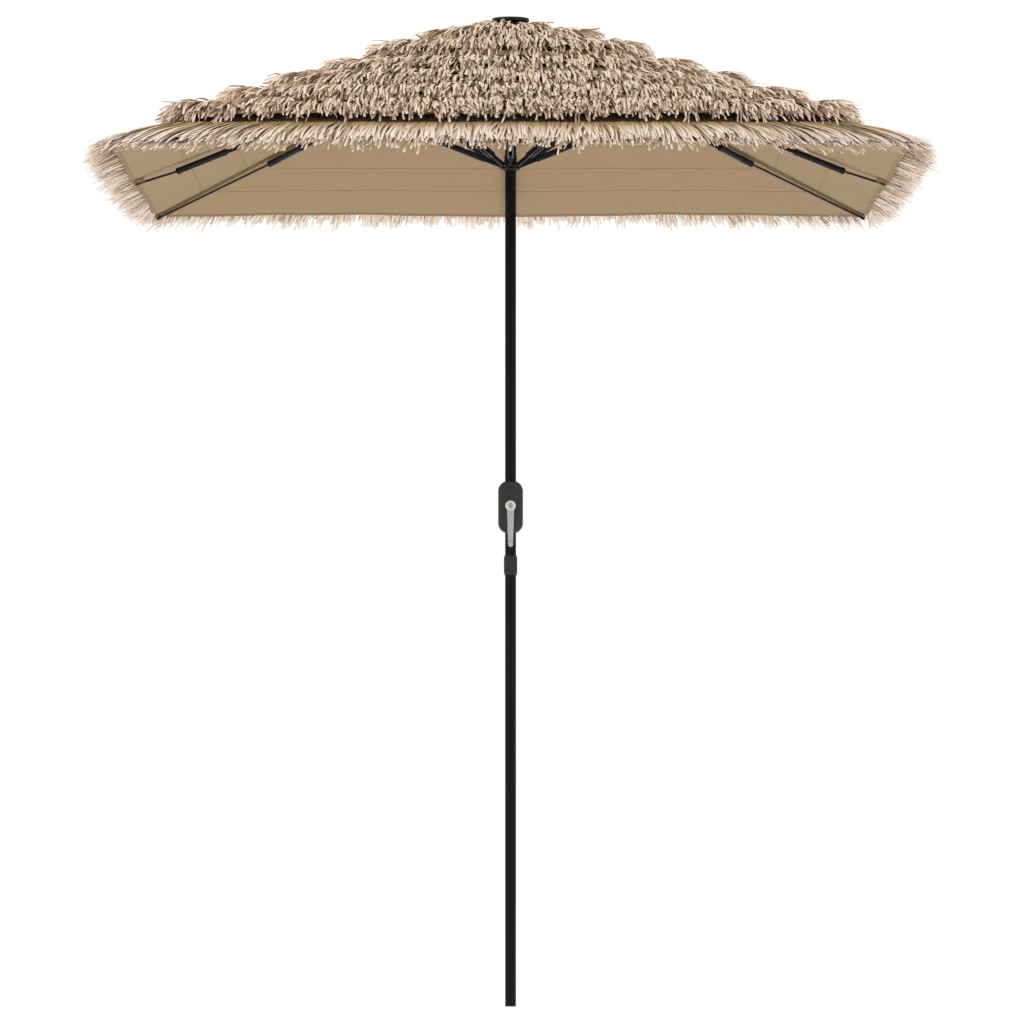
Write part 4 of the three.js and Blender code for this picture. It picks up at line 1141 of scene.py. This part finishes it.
def strips(random, row):
    """Centrelines and directions of one row's strips on the side that faces +X, and where each is rooted."""
    edge = row == 0
    looks = FRINGE_STRIPS if edge else ROW_STRIPS
    tip_reach = CLOTH_HALF - row * ROW_RUN
    root = row_root(row)
    count = int(2 * tip_reach / STRIP_PITCH)
    start = root + random.uniform(-2, 5, count) * MM
    reach_to = tip_reach + (FRINGE if edge else 0)
    # the ends lie evenly along the row's edge, so the strips fan out towards the corners
    end = random.uniform(-1, 1, count)
    across = end * (min(reach_to / root, 1.2) * (1 - end**2) + end**2)
    fan = np.arctan2(end * reach_to - across * root, reach_to - root)
    length = (reach_to - start) / cos(SLOPE_ANGLE) / np.cos(fan) ** looks.fan_growth * 1.02
    tufts = clumps(random, across, 22 * MM)
    length *= looks.length + 0.07 * tufts + random.normal(0, looks.spread, count)
    steps = np.linspace(0, 1, STRIP_STEPS + 1)[:, None]
    tip = np.clip((steps - CURL_FROM) / (1 - CURL_FROM), 0, 1)
    layer = random.random(count) ** 0.6  # 0 for a strip at the bottom of its row, 1 for one on top
    curl = random.normal(*looks.curl, count)
    wild = random.random(count) < looks.wild
    curl = np.where(wild, random.uniform(-2.0, 1.5, count), curl)
    run = length * steps
    droop = SLOPE_ANGLE * np.ones_like(run) - curl * tip
    turn = fan + random.normal(0, 0.05, count) + 0.10 * clumps(random, across, 40 * MM)
    turn = turn + random.normal(0, 0.10, count) * steps
    turn = turn + random.normal(0, looks.tip_turn, count) * tip
    wave = random.normal(0, looks.wave, (STRIP_STEPS + 1, count))
    droop += np.cumsum(wave, axis=0) * smooth(steps, 0.3, 0.7)
    ahead = np.stack([np.cos(droop) * np.cos(turn), np.cos(droop) * np.sin(turn), -np.sin(droop)], axis=-1)
    moves = ahead[:-1] * (length / STRIP_STEPS)[None, :, None]
    base = np.stack([start, across * start, cloth_z(start)], axis=-1)
    points = np.concatenate([base[None], base[None] + np.cumsum(moves, axis=0)])
    reach = np.maximum(np.abs(points[..., 0]), np.abs(points[..., 1]))
    ground = cloth_z(reach)
    low = (2.5 + 3 * layer) * MM + HEM_LIFT * smooth(reach, CLOTH_HALF / 2, CLOTH_HALF)
    bottom = 3 * MM if edge else TIER_GAP
    depth = 30 * MM if edge else thatch_depth(tip_reach) - 4 * MM * tufts
    high = bottom + (depth - bottom) * layer
    body = low + (high - low) * smooth(steps, 0.0, 0.75) ** 0.8
    height = points[..., 2] - ground + body
    inside = np.clip(height, 6 * MM * smooth(steps, 0, 0.1), thatch_depth(reach) + 5 * MM)
    points[..., 2] = ground + np.where(reach < CLOTH_HALF + 2 * MM, inside, height)
    ahead = np.gradient(points, axis=0)
    return points, ahead / np.linalg.norm(ahead, axis=-1, keepdims=True), across


def packed_body(sector, fabric, row):
    """The dense inside of a row, which shows between its strips: a wavy skin that ends in the row's lip."""
    tip_reach = CLOTH_HALF - row * ROW_RUN
    root = row_root(row)
    depth = 4 * MM if row == 0 else thatch_depth(tip_reach)
    share, height, tone = ROW_SKIN.T[:, :, None]
    columns = max(int(tip_reach / (14 * MM) * (2 if sector.flank == 0 else 1)), 4)
    across = sector.sweep(columns)
    reach = root + (tip_reach - root) * share
    reach = reach + 3 * MM * np.sin(across * 61) * share
    points, uvs = patch(sector, reach, across, -3.5 * MM)
    points[..., 2] += np.broadcast_to(height * depth, points.shape[:2])
    fabric.add(points, uvs, 0, tones=np.broadcast_to(tone, points.shape[:2]))


def strip_mesh(random, points, ahead, looks):
    """Creased ribbons along the centrelines: (points, uvs, tones, faces), with three points across."""
    steps, count = points.shape[:2]
    share = np.linspace(0, 1, steps)[:, None]
    side = np.cross(ahead, (0, 0, 1.0))
    side /= np.linalg.norm(side, axis=-1, keepdims=True) + 1e-9
    up = np.cross(side, ahead)
    twist = random.normal(0, looks.twist, count) * np.ones_like(share)
    twist = twist + random.normal(0, looks.tip_twist, count) * smooth(share, 0.15, 1.0)
    level, lean = np.cos(twist)[..., None], np.sin(twist)[..., None]
    flat, crown = side * level + up * lean, up * level - side * lean
    width = random.uniform(*looks.width, count) * MM
    half = (width / 2 * (1 - 0.3 * smooth(share, 0.8, 1.0)))[..., None]
    crease = half * random.uniform(-0.3, 0.45, count)[:, None]
    rows = np.stack([points - flat * half, points + crown * crease, points + flat * half], axis=2)
    vertices = rows.transpose(1, 0, 2, 3)  # strip, step, across
    first = np.arange(count)[:, None, None] * steps * 3
    faces = (grid_faces(steps, 3)[None] + first).reshape(-1, 4)
    along = np.broadcast_to((share * 0.15).T[:, :, None], (count, steps, 3))
    aside = np.broadcast_to(np.array([0.0, 0.5, 1.0]) * 0.005, (count, steps, 3))
    offset = random.uniform(0, 50, count)[:, None, None]
    uvs = np.stack([aside + offset, along + offset], axis=-1)
    own = np.clip(random.normal(0, 0.07, count), -0.16, 0.16)[None, :]
    # darker at the root as painted shade under the row above; paler towards the tip, partly the raffia's own
    # colour and partly painted light through the thin tips, more so on the fringe
    tone = 0.16 + 0.32 * smooth(share, 0.14, 0.6) + 0.26 * smooth(share, 0.6, 0.95) + own
    tone = tone + looks.paler * smooth(share, 0.55, 0.8)
    tones = np.broadcast_to(tone.T[:, :, None], (count, steps, 3))
    return vertices.reshape(count, -1, 3), uvs.reshape(count, -1, 2), tones.reshape(count, -1), faces


def raffia(sectors):
    """All the rows of strips on one side, shared among the side's three sectors."""
    side = sectors[0].side
    random = np.random.default_rng(100 + side)
    fabrics = {sector.name: Fabric() for sector in sectors}
    for row in range(ROWS):
        looks = FRINGE_STRIPS if row == 0 else ROW_STRIPS
        points, ahead, across = strips(random, row)
        for sector in sectors:
            mine = sector.holds(across)
            vertices, uvs, tones, faces = strip_mesh(random, points[:, mine], ahead[:, mine], looks)
            fabrics[sector.name].add(quarter_turn(vertices, side), uvs, 0, faces, tones)
            packed_body(sector, fabrics[sector.name], row)
            tape(sector, fabrics[sector.name], row)
    for sector in sectors:
        piece = fabrics[sector.name].build("thatch_" + sector.name, [RAFFIA], 180)
        sector.gather(piece, "raffia", "raffia_" + sector.spoke)
        yield piece


def tape(sector, fabric, row):
    """The sewn tape that a row hangs from, in the darkest raffia tone as painted shade under the row above.
    """
    reach = (row_root(row) + np.array([-4, 2, 12]) * MM)[:, None]
    across = sector.sweep(16)
    points, uvs = patch(sector, reach, across, -1.6 * MM)
    points[..., 2] += (np.array([0, 3.2, 3.8]) * MM)[:, None]
    fabric.add(points, uvs, 0, tones=np.full(points.shape[:2], 0.02))


# ---- Assembly ----
camera()
studio()
lower_pole()
smooth_node("upper_pole", BLACK_COAT)
pole_collar()
foot_plug()
housing_front()
housing_back()
case_screw(-1)
case_screw(1)
crank_handle()
crank_knob()
top_hub()
pivot_wire("hub_wire", "hub_ring", HUB_PIVOT_Z, "root")
runner()
pivot_wire("runner_wire", "runner_ring", RUNNER_PIVOT_Z, "runner")
top_cap()
lift_cord()
for node, material in (("winding_spool", BLACK_PLASTIC), ("crank_shaft", STEEL), ("pulley", BLACK_PLASTIC),
                       ("pulley_pin", STEEL)):
    smooth_node(node, material)
for index in range(len(SPOKES)):
    spoke = Spoke(index)
    rib_bar(spoke)
    rib_rod(spoke)
    strut(spoke)
for side in range(4):
    own = [sector for sector in SECTORS if sector.side == side]
    thatch = list(raffia(own))
    for sector, straw in zip(own, thatch):
        cloth, trim = canopy_cloth(sector), canopy_trim(sector)
